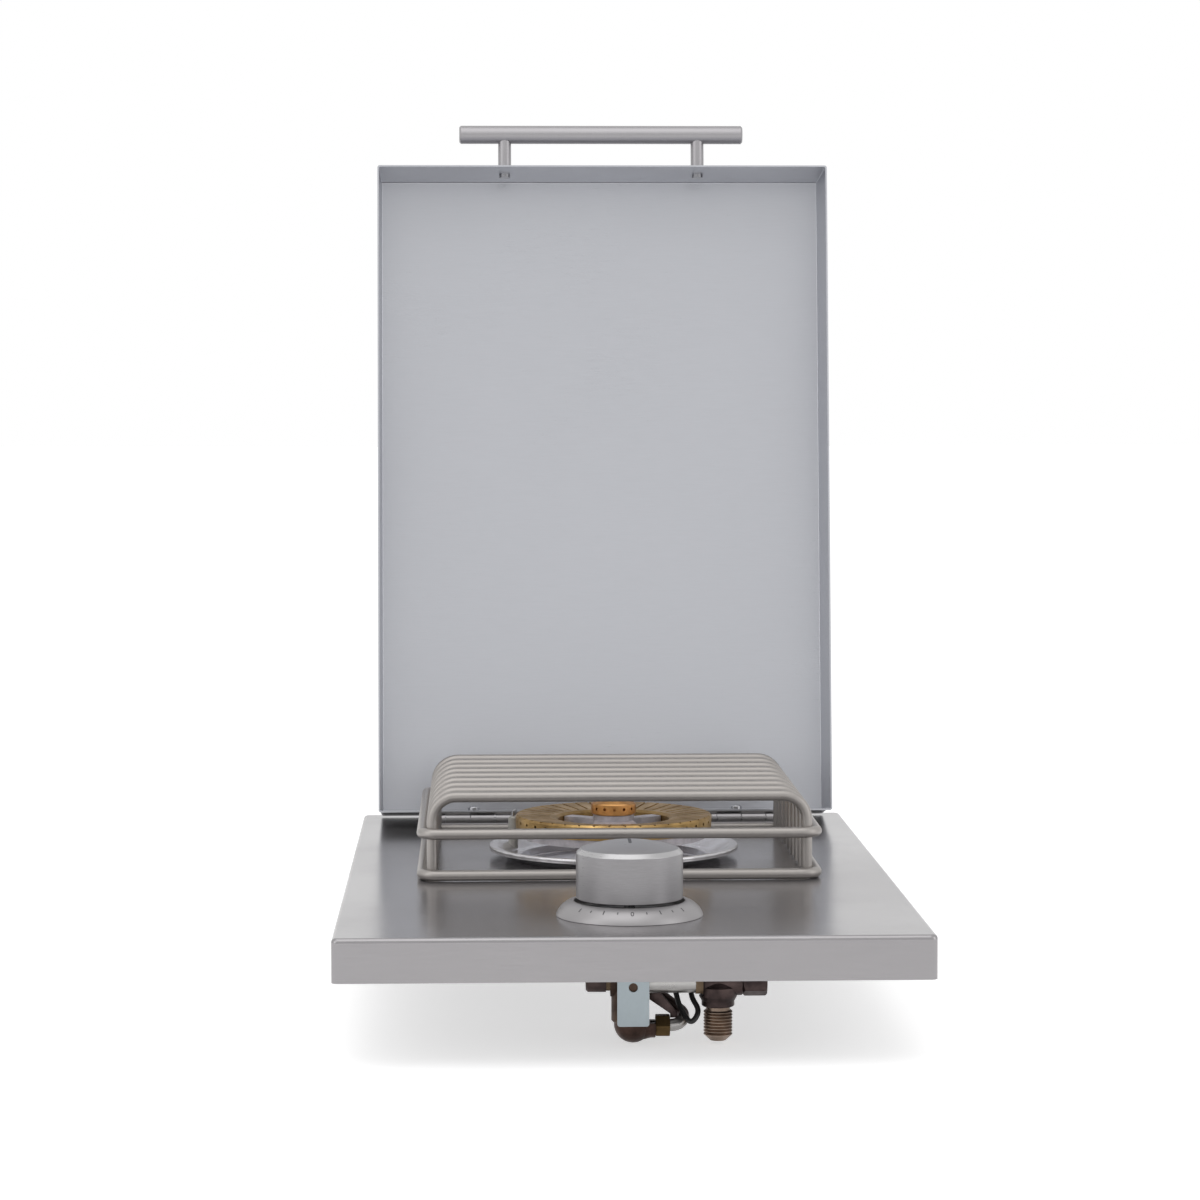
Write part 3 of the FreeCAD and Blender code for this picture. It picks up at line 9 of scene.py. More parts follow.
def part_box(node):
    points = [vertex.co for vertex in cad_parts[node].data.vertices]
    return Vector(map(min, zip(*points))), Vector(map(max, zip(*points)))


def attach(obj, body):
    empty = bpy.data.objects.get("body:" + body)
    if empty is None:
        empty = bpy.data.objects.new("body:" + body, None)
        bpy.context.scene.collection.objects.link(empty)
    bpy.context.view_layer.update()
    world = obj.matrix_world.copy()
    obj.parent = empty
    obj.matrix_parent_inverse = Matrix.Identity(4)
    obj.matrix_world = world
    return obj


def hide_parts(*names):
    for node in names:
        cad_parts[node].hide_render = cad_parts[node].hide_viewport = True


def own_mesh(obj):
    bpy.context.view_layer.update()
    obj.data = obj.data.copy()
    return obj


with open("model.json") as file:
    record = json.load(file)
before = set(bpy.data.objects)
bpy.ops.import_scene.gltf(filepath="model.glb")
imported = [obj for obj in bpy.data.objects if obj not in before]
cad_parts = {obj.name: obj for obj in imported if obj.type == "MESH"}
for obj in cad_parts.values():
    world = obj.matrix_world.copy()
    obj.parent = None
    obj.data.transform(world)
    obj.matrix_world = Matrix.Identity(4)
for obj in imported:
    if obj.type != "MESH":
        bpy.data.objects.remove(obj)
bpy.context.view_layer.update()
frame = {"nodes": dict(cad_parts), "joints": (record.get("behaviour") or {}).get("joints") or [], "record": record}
cadNodes = frame["nodes"]
print("frame loaded,", len(cadNodes), "solids")

mm = 0.001
sameSpot = 0.002 * mm  # corners closer than this are one
cutGap = 0.0001 * mm  # corners closer than this to a cut lie on it
bpy.context.scene.view_settings.view_transform = "Standard"

# camera, at the photograph's place and angle
cameraView = {"place": (-0.0790, -2.0417, 0.3190), "pitch": 3.78, "yaw": -1.94, "roll": -0.07, "lens": 103.35,
              "sensor": 36, "near": 0.05, "far": 50}


def turned(degrees, axis):
    return Matrix.Rotation(math.radians(degrees), 4, axis)


def setCamera(view):
    data = bpy.data.cameras.new("photoCamera")
    data.lens = view["lens"]
    data.sensor_width = view["sensor"]
    data.clip_start = view["near"]
    data.clip_end = view["far"]
    camera = bpy.data.objects.new("photoCamera", data)
    camera.location = view["place"]
    aim = turned(view["yaw"], "Z") @ turned(90 - view["pitch"], "X") @ turned(view["roll"], "Z")
    camera.rotation_euler = aim.to_euler()
    bpy.context.scene.collection.objects.link(camera)
    bpy.context.scene.camera = camera


setCamera(cameraView)
print("camera placed")


# node helpers, for the finishes and the stage
def setInput(tree, socket, value):
    if isinstance(value, bpy.types.NodeSocket):
        tree.links.new(value, socket)
    else:
        socket.default_value = value


def addNode(tree, kind, **inputs):
    # each input is a plain value, or another node's output to link from
    node = tree.nodes.new(kind)
    for key, value in inputs.items():
        setInput(tree, node.inputs[key.replace("_", " ")], value)
    return node


def mathNode(tree, operation, *values):
    node = tree.nodes.new("ShaderNodeMath")
    node.operation = operation
    for socket, value in zip(node.inputs, values):
        setInput(tree, socket, value)
    return node.outputs["Value"]


def mixShaders(tree, share, first, second):
    node = addNode(tree, "ShaderNodeMixShader", Fac=share)
    tree.links.new(first, node.inputs[1])
    tree.links.new(second, node.inputs[2])
    return node.outputs["Shader"]


class Finish:
    def __init__(self, name, metallic=0.0):
        self.material = bpy.data.materials.new(name)
        self.material.use_nodes = True
        self.tree = self.material.node_tree
        self.shader = self.tree.nodes["Principled BSDF"]
        self.place = self.tree.nodes.new("ShaderNodeTexCoord").outputs["Object"]
        self.feed("Metallic", metallic)

    def feed(self, name, value):
        setInput(self.tree, self.shader.inputs[name], value)

    def noise(self, stretch, scale, detail=4.0, rough=0.6):
        mapping = addNode(self.tree, "ShaderNodeMapping", Vector=self.place, Scale=stretch)
        grain = addNode(self.tree, "ShaderNodeTexNoise", Vector=mapping.outputs["Vector"], Scale=scale,
                        Detail=detail, Roughness=rough)
        return grain.outputs["Fac"]

    def ramp(self, source, low, high, lowAt=0.3, highAt=0.7):
        # a colour between low and high
        node = addNode(self.tree, "ShaderNodeValToRGB", Fac=source)
        for stop, place, colour in zip(node.color_ramp.elements, (lowAt, highAt), (low, high)):
            stop.position = place
            stop.color = (*colour, 1)
        return node.outputs["Color"]

    def spread(self, source, low, high, lowAt=0.3, highAt=0.7):
        # a number between low and high
        node = addNode(self.tree, "ShaderNodeMapRange", Value=source, From_Min=lowAt, From_Max=highAt,
                       To_Min=low, To_Max=high)
        return node.outputs["Result"]

    def bump(self, source, strength, distance):
        node = addNode(self.tree, "ShaderNodeBump", Height=source, Strength=strength, Distance=distance)
        self.feed("Normal", node.outputs["Normal"])


evenly = (1, 1, 1)  # a grain that runs no way more than another


def shade(colour, factor):
    return tuple(min(1.0, c * factor) for c in colour)


def brushedMetal(name, colour, rough, grain, scale, depth, cloud, metallic=1.0):
    # long fine scratches along the grain, with soft clouds of handling wear
    skin = Finish(name, metallic)
    scratches = skin.noise(grain, scale, detail=6.0, rough=0.7)
    wear = skin.noise(evenly, 9, detail=3.0, rough=0.5)
    skin.feed("Base Color", skin.ramp(scratches, shade(colour, 1 - cloud), shade(colour, 1 + cloud)))
    gloss = skin.spread(scratches, rough * 0.75, rough * 1.15)
    skin.feed("Roughness", mathNode(skin.tree, "ADD", gloss, skin.spread(wear, -0.03, 0.05)))
    skin.bump(scratches, depth, 0.4 * mm)
    return skin.material


def castMetal(name, colour, rough, metallic=1.0, grit=700, depth=0.4, stain=None):
    # sand-cast skin with stains in random patches
    skin = Finish(name, metallic)
    patches = skin.noise(evenly, 60, detail=5.0)
    low = stain if stain else shade(colour, 0.7)
    skin.feed("Base Color", skin.ramp(patches, low, shade(colour, 1.15), 0.35, 0.65))
    skin.feed("Roughness", skin.spread(patches, rough + 0.12, rough - 0.08))
    skin.bump(skin.noise(evenly, grit), depth, 0.5 * mm)
    return skin.material


def plainSkin(name, colour, rough, metallic=0.0, spot=0.08, depth=0.08):
    # moulded, glazed or plated skin with slight unevenness
    skin = Finish(name, metallic)
    patches = skin.noise(evenly, 120)
    skin.feed("Base Color", skin.ramp(patches, shade(colour, 1 - spot), shade(colour, 1 + spot)))
    skin.feed("Roughness", skin.spread(patches, rough * 0.85, rough * 1.2))
    skin.bump(patches, depth, 0.3 * mm)
    return skin.material


def shadedTube(name, tubeColour, paintedShade, rough, metallic, shadeSpan, sway):
    # plated tube in its own colour at its front bend, darkened further back by painted shade where it runs into
    # shadow; the change lies between the two y places given
    skin = Finish(name, metallic)
    split = addNode(skin.tree, "ShaderNodeSeparateXYZ", Vector=skin.place)
    patches = skin.noise(evenly, 150)
    back = mathNode(skin.tree, "MULTIPLY_ADD", patches, sway, split.outputs["Y"])
    skin.feed("Base Color", skin.ramp(skin.spread(back, 0, 1, *shadeSpan), tubeColour, paintedShade, 0, 1))
    skin.feed("Roughness", skin.spread(patches, rough * 0.8, rough * 1.3))
    skin.bump(patches, 0.1, 0.3 * mm)
    return skin.material


# grain is how fast the scratches change along x, y and z
brushed = {
    "traySteel": {"colour": (0.31, 0.30, 0.307), "rough": 0.20, "grain": (1.2, 60, 60), "scale": 60,
                  "depth": 0.06, "cloud": 0.07, "metallic": 0.8},
    "lidSteel": {"colour": (0.475, 0.483, 0.513), "rough": 0.36, "grain": (1.2, 60, 60), "scale": 60,
                 "depth": 0.05, "cloud": 0.035},
    "sheetSteel": {"colour": (0.38, 0.38, 0.39), "rough": 0.35, "grain": (2, 60, 60), "scale": 50,
                   "depth": 0.08, "cloud": 0.08},
    "hingeSteel": {"colour": (0.30, 0.29, 0.295), "rough": 0.40, "grain": (2, 60, 60), "scale": 50,
                   "depth": 0.06, "cloud": 0.08},
    "handleSteel": {"colour": (0.34, 0.33, 0.34), "rough": 0.42, "grain": (60, 3, 3), "scale": 60,
                    "depth": 0.04, "cloud": 0.06, "metallic": 0.9},
    "wireSteel": {"colour": (0.33, 0.31, 0.295), "rough": 0.42, "grain": (6, 6, 6), "scale": 60,
                  "depth": 0.03, "cloud": 0.06, "metallic": 0.85},
    "bowlAluminium": {"colour": (0.74, 0.73, 0.75), "rough": 0.22, "grain": (8, 8, 60), "scale": 50,
                      "depth": 0.02, "cloud": 0.03, "metallic": 0.78},
    "knobMetal": {"colour": (0.285, 0.278, 0.286), "rough": 0.36, "grain": (3, 3, 30), "scale": 60,
                  "depth": 0.04, "cloud": 0.08, "metallic": 0.68},
    # lighter copy of the knob metal for the crown's chamfer: a painted highlight
    "knobEdge": {"colour": (0.42, 0.415, 0.42), "rough": 0.32, "grain": (3, 3, 30), "scale": 60,
                 "depth": 0.03, "cloud": 0.04, "metallic": 0.8},
    "bezelMetal": {"colour": (0.32, 0.31, 0.315), "rough": 0.42, "grain": (6, 6, 30), "scale": 60,
                   "depth": 0.04, "cloud": 0.05, "metallic": 0.85},
}
cast = {
    "burnerCasting": {"colour": (0.58, 0.555, 0.59), "rough": 0.52, "metallic": 0.7},
    "ringBrass": {"colour": (0.46, 0.30, 0.115), "rough": 0.38, "grit": 500, "depth": 0.15,
                  "stain": (0.29, 0.185, 0.075)},
    "capBrass": {"colour": (0.72, 0.38, 0.15), "rough": 0.30, "grit": 500, "depth": 0.10,
                 "stain": (0.50, 0.27, 0.10)},
    "valveCasting": {"colour": (0.10, 0.068, 0.05), "rough": 0.45, "grit": 700, "depth": 0.3,
                     "stain": (0.045, 0.03, 0.025)},
    "plainBrass": {"colour": (0.13, 0.085, 0.038), "rough": 0.38, "grit": 500, "depth": 0.10,
                   "stain": (0.07, 0.045, 0.02)},
    "agedBrass": {"colour": (0.34, 0.26, 0.205), "rough": 0.36, "grit": 600, "depth": 0.15,
                  "stain": (0.13, 0.095, 0.075)},
    "darkSteel": {"colour": (0.075, 0.053, 0.05), "rough": 0.42, "metallic": 0.9, "grit": 600, "depth": 0.25,
                  "stain": (0.03, 0.022, 0.022)},
    "darkBrass": {"colour": (0.085, 0.050, 0.040), "rough": 0.40, "metallic": 0.9, "grit": 600, "depth": 0.2,
                  "stain": (0.04, 0.025, 0.02)},
}
plain = {
    "screwSteel": {"colour": (0.36, 0.36, 0.37), "rough": 0.30, "metallic": 1.0},
    "whiteCeramic": {"colour": (0.42, 0.41, 0.38), "rough": 0.30},
    "blackLead": {"colour": (0.012, 0.012, 0.013), "rough": 0.42},
    "blackPlastic": {"colour": (0.02, 0.02, 0.02), "rough": 0.45},
    "markBlack": {"colour": (0.03, 0.03, 0.035), "rough": 0.5},
    "zincPlate": {"colour": (0.42, 0.48, 0.51), "rough": 0.34, "metallic": 0.55, "spot": 0.05},
    "nickelTube": {"colour": (0.46, 0.45, 0.44), "rough": 0.30, "metallic": 0.9, "spot": 0.06},
    "pipeCompound": {"colour": (0.30, 0.21, 0.13), "rough": 0.7, "spot": 0.2, "depth": 0.3},
}
# painted shade: the supply tube goes dark on its run back to the jet, where it lies in shadow
shadedTubes = {
    "supplyTube": {"tubeColour": (0.40, 0.39, 0.38), "paintedShade": (0.10, 0.075, 0.07), "rough": 0.32, "metallic": 0.9,
                   "shadeSpan": (-0.178, -0.171), "sway": 0.006},
}
finishes = {}
makers = ((brushedMetal, brushed), (castMetal, cast), (plainSkin, plain), (shadedTube, shadedTubes))
for makeFinish, looks in makers:
    for name, look in looks.items():
        finishes[name] = makeFinish(name, **look)

# which finish each slot of the solids gets, and the nodes that differ from their slot
slotFinish = {
    "tray_steel": "traySteel", "lid_steel": "lidSteel", "sheet_steel": "sheetSteel",
    "hinge_steel": "hingeSteel", "handle_steel": "handleSteel", "grate_steel": "wireSteel",
    "fastener_steel": "screwSteel",
    "bowl_aluminium": "bowlAluminium", "burner_casting": "burnerCasting", "ring_brass": "ringBrass",
    "cap_brass": "capBrass", "white_ceramic": "whiteCeramic", "black_lead": "blackLead",
    "black_plastic": "blackPlastic", "knob_metal": "knobMetal", "bezel_metal": "bezelMetal",
    "mark_black": "markBlack", "zinc_plate": "zincPlate", "tube_steel": "nickelTube",
    "pipe_compound": "pipeCompound", "valve_casting": "valveCasting", "plain_brass": "plainBrass",
    "aged_brass": "agedBrass", "dark_steel": "darkSteel", "dark_brass": "darkBrass",
}
nodeFinish = {"bracket_screw": "darkSteel"}
for part in frame["record"]["subparts"]:
    finish = nodeFinish.get(part["node"], slotFinish[part["material_slot"]])
    for slot in cadNodes[part["node"]].material_slots:
        slot.material = finishes[finish]
print("finishes on the solids")


# places that the pieces share, from the frame, in mm
def frameSpot(metres):
    return round(metres / mm, 3)


joints = {joint["name"]: joint for joint in frame["joints"]}
ringLow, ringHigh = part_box("outer_burner_ring")
panelTop = frameSpot(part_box("top_tray")[1][2])
burnerY = frameSpot((ringLow[1] + ringHigh[1]) / 2)
knobY = frameSpot(joints["knob_turn"]["pos_m"][1])

# the lid is made shut, and this swings it open about its hinge
hinge = Vector(joints["lid_hinge"]["pos_m"])
openAngle = joints["lid_hinge"]["range_deg"][1]
lidSwing = Matrix.Translation(hinge) @ turned(-openAngle, "X") @ Matrix.Translation(-hinge)


# mesh helpers for the dressed pieces, all in mm
def putPiece(name, work, body, finish, standsFor=(), sharp=30, weld=True):
    # sharp is the angle from which an edge shows
    if weld:
        bmesh.ops.remove_doubles(work, verts=work.verts, dist=sameSpot)
        bmesh.ops.recalc_face_normals(work, faces=work.faces)
    mesh = bpy.data.meshes.new(name)
    work.to_mesh(mesh)
    work.free()
    mesh.polygons.foreach_set("use_smooth", [True] * len(mesh.polygons))
    mesh.set_sharp_from_angle(angle=math.radians(sharp))
    mesh.materials.append(finishes[finish])
    piece = bpy.data.objects.new(name, mesh)
    bpy.context.scene.collection.objects.link(piece)
    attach(piece, body)
    if standsFor:
        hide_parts(*standsFor)
    return piece


def blockWork(width, length, height):
    work = bmesh.new()
    bmesh.ops.create_cube(work, size=1)
    bmesh.ops.scale(work, verts=work.verts, vec=(width * mm, length * mm, height * mm))
    return work


def discWork(radius, height, segments):
    work = bmesh.new()
    bmesh.ops.create_cone(work, cap_ends=True, segments=segments, radius1=radius * mm, radius2=radius * mm,
                          depth=height * mm)
    return work


def moveWork(work, x, y, z):
    bmesh.ops.translate(work, verts=work.verts, vec=(x * mm, y * mm, z * mm))


def easeEdges(work, edges, offset, segments, profile=0.5):
    bmesh.ops.bevel(work, geom=edges, offset=offset * mm, affect="EDGES", segments=segments, profile=profile,
                    material=-1)


def joinWork(target, source):
    mesh = bpy.data.meshes.new("spare")
    source.to_mesh(mesh)
    source.free()
    target.from_mesh(mesh)
    bpy.data.meshes.remove(mesh)


def curveWork(curve):
    # the mesh that a curve or a figure shows
    holder = bpy.data.objects.new(curve.name, curve)
    bpy.context.scene.collection.objects.link(holder)
    bpy.context.view_layer.update()
    mesh = bpy.data.meshes.new_from_object(holder.evaluated_get(bpy.context.evaluated_depsgraph_get()))
    bpy.data.objects.remove(holder)
    work = bmesh.new()
    work.from_mesh(mesh)
    bpy.data.meshes.remove(mesh)
    return work


def roundedProfile(corners, steps=5, mostOfSide=0.49):
    # each corner of a closed profile is (across, up, bend), and becomes a short curve where it has a bend
    rounded = []
    for i, (across, up, bend) in enumerate(corners):
        if not bend:
            rounded.append((across, up))
            continue
        here = Vector((across, up))
        back = Vector(corners[i - 1][:2]) - here
        ahead = Vector(corners[(i + 1) % len(corners)][:2]) - here
        run = min(bend / math.tan(back.angle(ahead) / 2), back.length * mostOfSide, ahead.length * mostOfSide)
        start, end = here + back.normalized() * run, here + ahead.normalized() * run
        for k in range(steps + 1):
            t = k / steps
            rounded.append(tuple(start * (1 - t) ** 2 + here * 2 * t * (1 - t) + end * t ** 2))
    return rounded


def spunWork(corners, middleY, steps=160):
    # the profile stands on the panel and turns about an upright line through middleY
    work = bmesh.new()
    spots = [work.verts.new((r * mm, middleY * mm, (panelTop + h) * mm)) for r, h in roundedProfile(corners)]
    runs = [work.edges.new(pair) for pair in zip(spots, spots[1:] + spots[:1])]
    bmesh.ops.spin(work, geom=spots + runs, cent=(0, middleY * mm, 0), axis=(0, 0, 1), angle=2 * math.pi,
                   steps=steps, use_merge=True, use_duplicate=False)
    return work


def wireCurve(name, radius, sides):
    curve = bpy.data.curves.new(name, "CURVE")
    curve.dimensions = "3D"
    curve.bevel_depth = radius * mm
    curve.bevel_resolution = sides
    curve.use_fill_caps = True
    return curve


def bentWire(name, points, bend, radius, cyclic=False, smooth=10, straightPull=1.0):
    # round wire: straight runs joined by true bends
    curve = wireCurve(name, radius, 8)
    curve.resolution_u = smooth
    knots = []
    for i, point in enumerate(points):
        here = Vector(point)
        if not cyclic and i in (0, len(points) - 1):
            knots.append((here, here, here))
            continue
        back = Vector(points[i - 1]) - here
        ahead = Vector(points[(i + 1) % len(points)]) - here
        half = back.angle(ahead) / 2
        run = bend / math.tan(half)
        pull = run - bend * 4 / 3 * math.tan((math.pi / 2 - half) / 2)  # handles this long give a round bend
        back.normalize()
        ahead.normalize()
        start, end = here + back * run, here + ahead * run
        knots.append((start + back * straightPull, start, here + back * pull))
        knots.append((here + ahead * pull, end, end + ahead * straightPull))
    spline = curve.splines.new("BEZIER")
    spline.bezier_points.add(len(knots) - 1)
    spline.use_cyclic_u = cyclic
    for knot, (left, centre, right) in zip(spline.bezier_points, knots):
        knot.handle_left_type = knot.handle_right_type = "FREE"
        knot.co, knot.handle_left, knot.handle_right = centre * mm, left * mm, right * mm
    work = curveWork(curve)
    bmesh.ops.remove_doubles(work, verts=work.verts, dist=sameSpot)
    return work


# grate of round wire, whose radius is wire: two rings, and hoops welded inside them
grate = {"wire": 3.15, "width": 237.0, "length": 214.0, "middleY": 52.0, "height": 51.7, "upper": 27.5,
         "seat": 0.3, "hoops": 9, "pitch": 24.4, "ringBend": 9.0, "hoopBend": 14.0, "weldSink": 0.4}


def makeGrate(g):
    wire = g["wire"]
    halfX, halfY = g["width"] / 2 - wire, g["length"] / 2 - wire
    heights = {"lowerRing": g["seat"] + wire, "upperRing": g["upper"]}
    for name, node in (("lowerRing", "grate_lower_ring"), ("upperRing", "grate_upper_ring")):
        z = panelTop + heights[name]
        corners = [(x * halfX, g["middleY"] + y * halfY, z) for x, y in ((-1, -1), (1, -1), (1, 1), (-1, 1))]
        ring = bentWire(name, corners, g["ringBend"], wire, cyclic=True)
        putPiece(name, ring, "grate", "wireSteel", (node,), sharp=35)
    hoops = bmesh.new()
    x = g["width"] / 2 - 3 * wire + g["weldSink"]  # against the inside of the rings
    low, top = panelTop + g["seat"] + wire, panelTop + g["height"] - wire
    for i in range(g["hoops"]):
        y = g["middleY"] + (i - (g["hoops"] - 1) / 2) * g["pitch"]
        route = [(-x, y, low), (-x, y, top), (x, y, top), (x, y, low)]
        joinWork(hoops, bentWire("hoop", route, g["hoopBend"], wire))
    putPiece("grateHoops", hoops, "grate", "wireSteel", ("grate_bars",), sharp=50, weld=False)


makeGrate(grate)
print("grate bent")

# spun drip bowl with a rolled rim; inward is how many walls its upper skin stands in at step, seat and rim
bowl = {"radius": 75.0, "wall": 0.9, "rim": 7.1, "lip": 2.2, "rimWidth": 3.2, "rimFall": 0.6, "seat": 63.0,
        "seatWidth": 5.0, "drop": 4.6, "dropRun": 1.6, "floorFall": 0.8, "hole": 20.0,
        "inward": (0.8, 0.75, 0.7)}


def makeBowl(b):
    w = b["wall"]
    stepIn, seatIn, rimIn = [share * w for share in b["inward"]]
    outer, lipLow = b["radius"], b["rim"] - b["lip"]
    rimInner, rimLow = b["radius"] - b["rimWidth"], b["rim"] - b["rimFall"]
    seatInner = b["seat"] - b["seatWidth"]
    foot, low = seatInner - b["dropRun"], -b["drop"]
    holeLow = low - b["floorFall"]
    under = [(outer, lipLow, 0), (outer, b["rim"], 0.6), (rimInner, rimLow, 1.4), (b["seat"], 0.0, 1.6),
             (seatInner, 0.0, 0.8), (foot, low, 2.2), (b["hole"], holeLow, 0)]
    over = [(b["hole"], holeLow + w, 0), (foot - stepIn, low + w, 2.0), (seatInner - stepIn, w, 1.2),
            (b["seat"] - seatIn, w, 1.6), (rimInner - rimIn, rimLow + w, 1.6), (outer + w, b["rim"] + w, 1.2),
            (outer + w, lipLow, 0.3)]
    putPiece("dripBowl", spunWork(under + over, burnerY), "tray", "bowlAluminium",
             ("drip_bowl",), sharp=40)


makeBowl(bowl)
print("drip bowl spun")

# knob turned from bar, its crown slightly domed; dome, edge and roof are the crown's rise, chamfer and wall; the
# chamfer faces that the last two keys pick get a painted highlight
knob = {"radius": 29.2, "low": 9.5, "height": 27.2, "wall": 2.4, "roof": 3.0, "hub": 7.0, "hubLow": 3.0,
        "edge": (2.4, 2.3), "dome": 4.4, "domeSteps": 8, "highlightSlack": 0.2, "highlightFacing": (0.25, 0.97)}
# filled mark along the crown, ending edge short of the knob's side
knobMark = {"width": 1.8, "length": 34.0, "edge": 4.6, "thick": 0.5, "corner": 0.8, "cuts": 12, "proud": 0.04}


def domeHeight(k, r):
    ball = ((k["radius"] - k["edge"][0]) ** 2 + k["dome"] ** 2) / (2 * k["dome"])
    return k["low"] + k["height"] + k["dome"] - ball + math.sqrt(ball ** 2 - r ** 2)


def makeKnob(k):
    low, top = k["low"], k["low"] + k["height"]
    hubLow, roofLow = low + k["hubLow"], top - k["roof"]
    outer, inner, crown = k["radius"], k["radius"] - k["wall"], k["radius"] - k["edge"][0]
    profile = [(inner, low, 0.3), (outer, low, 0.4), (outer, top - k["edge"][1], 0.9), (crown, top, 0.35)]
    for step in reversed(range(k["domeSteps"])):
        r = crown * step / k["domeSteps"]
        profile.append((r, domeHeight(k, r), 0))
    profile += [(0.0, hubLow, 0), (k["hub"], hubLow, 0.4), (k["hub"], roofLow, 1.0), (inner, roofLow, 1.5)]
    piece = putPiece("knobBody", spunWork(profile, knobY), "knob_unit", "knobMetal", ("knob",))
    # the chamfer round the crown takes a lighter copy of the knob metal, a painted highlight
    piece.data.materials.append(finishes["knobEdge"])
    for face in piece.data.polygons:
        reach = math.hypot(face.center.x, face.center.y - knobY * mm)
        if reach > (crown - k["highlightSlack"]) * mm and k["highlightFacing"][0] < face.normal.z < k["highlightFacing"][1]:
            face.material_index = 1


def makeKnobMark(k, m):
    work = blockWork(m["width"], m["length"], m["thick"])
    upright = [e for e in work.edges if abs((e.verts[0].co - e.verts[1].co).z) > m["thick"] / 2 * mm]
    easeEdges(work, upright, m["corner"], 4)
    for cut in range(1, m["cuts"]):
        y = (cut / m["cuts"] - 0.5) * m["length"] * mm
        bmesh.ops.bisect_plane(work, geom=work.verts[:] + work.edges[:] + work.faces[:], dist=cutGap,
                               plane_co=(0, y, 0), plane_no=(0, 1, 0))
    # the cut strip is laid over the dome
    middle = k["radius"] - m["edge"] - m["length"] / 2
    for corner in work.verts:
        spot = corner.co.y / mm + middle
        corner.co.z += (panelTop + domeHeight(k, abs(spot)) - m["thick"] / 2 + m["proud"]) * mm
        corner.co.y = (spot + knobY) * mm
    putPiece("knobMark", work, "knob_unit", "markBlack", ("knob_indicator",))


makeKnob(knob)
makeKnobMark(knob, knobMark)
print("knob turned")

# bezel pressed from sheet, with a bulged flank, and the plain ticks and figure printed on it
bezel = {"radius": 40.3, "top": 31.8, "height": 8.2, "bulge": (37.9, 4.4), "flankSteps": 12, "dish": 30.2,
         "floor": 2.0, "sheet": 1.0, "rimDepth": 1.6, "hole": 9.0, "base": 1.5, "bulgeWall": 1.0,
         "footX": 19.0, "footRadius": 4.2}
# spread and figureRoom are degrees round the knob, and a share is a place up the flank
dial = {"ticks": 9, "spread": 100.0, "figureRoom": 5.0, "width": 0.5, "long": 2.6, "short": 1.5, "thick": 0.1,
        "share": 0.62, "proud": 0.02, "figure": "0", "figureSize": 4.2, "figureShare": 0.58}


def circleMiddle(first, second, third):
    (x1, y1), (x2, y2), (x3, y3) = first, second, third
    s1, s2, s3 = x1 ** 2 + y1 ** 2, x2 ** 2 + y2 ** 2, x3 ** 2 + y3 ** 2
    spread = 2 * (x1 * (y2 - y3) - y1 * (x2 - x3) + x2 * y3 - x3 * y2)
    return ((s1 * (y2 - y3) + s2 * (y3 - y1) + s3 * (y1 - y2)) / spread,
            (s1 * (x3 - x2) + s2 * (x1 - x3) + s3 * (x2 - x1)) / spread)


def flankPoint(b, share):
    # point on the arc through the foot, the bulge and the top edge, and the way that it faces
    foot, crest = (b["radius"], 0.0), (b["top"], b["height"])
    x, y = circleMiddle(foot, b["bulge"], crest)
    start, end = math.atan2(foot[1] - y, foot[0] - x), math.atan2(crest[1] - y, crest[0] - x)
    lean = start + (end - start) * share
    reach = math.hypot(foot[0] - x, foot[1] - y)
    return (x + reach * math.cos(lean), y + reach * math.sin(lean)), lean


def makeBezel(b):
    steps = b["flankSteps"]
    bends = {0: 0.3, steps: 0.4}  # at the foot and at the top edge
    flank = [(*flankPoint(b, i / steps)[0], bends.get(i, 0)) for i in range(steps + 1)]
    under, low = b["dish"] + b["sheet"], b["floor"] - b["sheet"]
    dish = [(b["dish"], b["height"], 0.4), (b["dish"], b["floor"], 1.2), (b["hole"], b["floor"], 0)]
    bulgeInner = (b["bulge"][0] - b["base"], b["bulge"][1] - b["bulgeWall"], 0)
    inside = [(b["hole"], low, 0), (under, low, 0), (under, b["height"] - b["rimDepth"], 0), bulgeInner,
              (b["radius"] - b["base"], 0.0, 0)]
    work = spunWork(flank + dish + inside, knobY)
    for side in (-1, 1):
        foot = discWork(b["footRadius"], b["floor"], 48)
        moveWork(foot, side * b["footX"], knobY, panelTop + b["floor"] / 2)
        joinWork(work, foot)
    putPiece("bezelRing", work, "tray", "bezelMetal", ("bezel",), weld=False)


def layOnFlank(b, work, angle, share, proud):
    # flat work drawn about the origin, x along the rim and y up the flank, goes onto the bezel
    (r, h), lean = flankPoint(b, share)
    out, up = r + proud * math.cos(lean), h + proud * math.sin(lean)
    spot = Matrix.Translation((0, knobY * mm, panelTop * mm)) @ turned(angle, "Z")
    spot = spot @ Matrix.Translation((0, -out * mm, up * mm)) @ Matrix.Rotation(math.pi / 2 - lean, 4, "X")
    bmesh.ops.transform(work, matrix=spot, verts=work.verts)


def makeDial(b, d):
    marks = bmesh.new()
    for i in range(d["ticks"]):
        angle = (i / (d["ticks"] - 1) - 0.5) * d["spread"]
        if abs(angle) < d["figureRoom"]:
            continue
        tick = blockWork(d["width"], d["short"] if i % 2 else d["long"], d["thick"])
        layOnFlank(b, tick, angle, d["share"], d["proud"])
        joinWork(marks, tick)
    figure = figureWork(d)
    layOnFlank(b, figure, 0, d["figureShare"], d["proud"])
    joinWork(marks, figure)
    putPiece("bezelTicks", marks, "tray", "markBlack", weld=False)


def figureWork(d):
    curve = bpy.data.curves.new("digit", "FONT")
    curve.body = d["figure"]
    curve.size = d["figureSize"] * mm
    curve.extrude = d["thick"] / 2 * mm
    curve.align_x = "CENTER"
    curve.align_y = "CENTER"
    return curveWork(curve)


makeBezel(bezel)
makeDial(bezel, dial)
print("bezel pressed and marked")

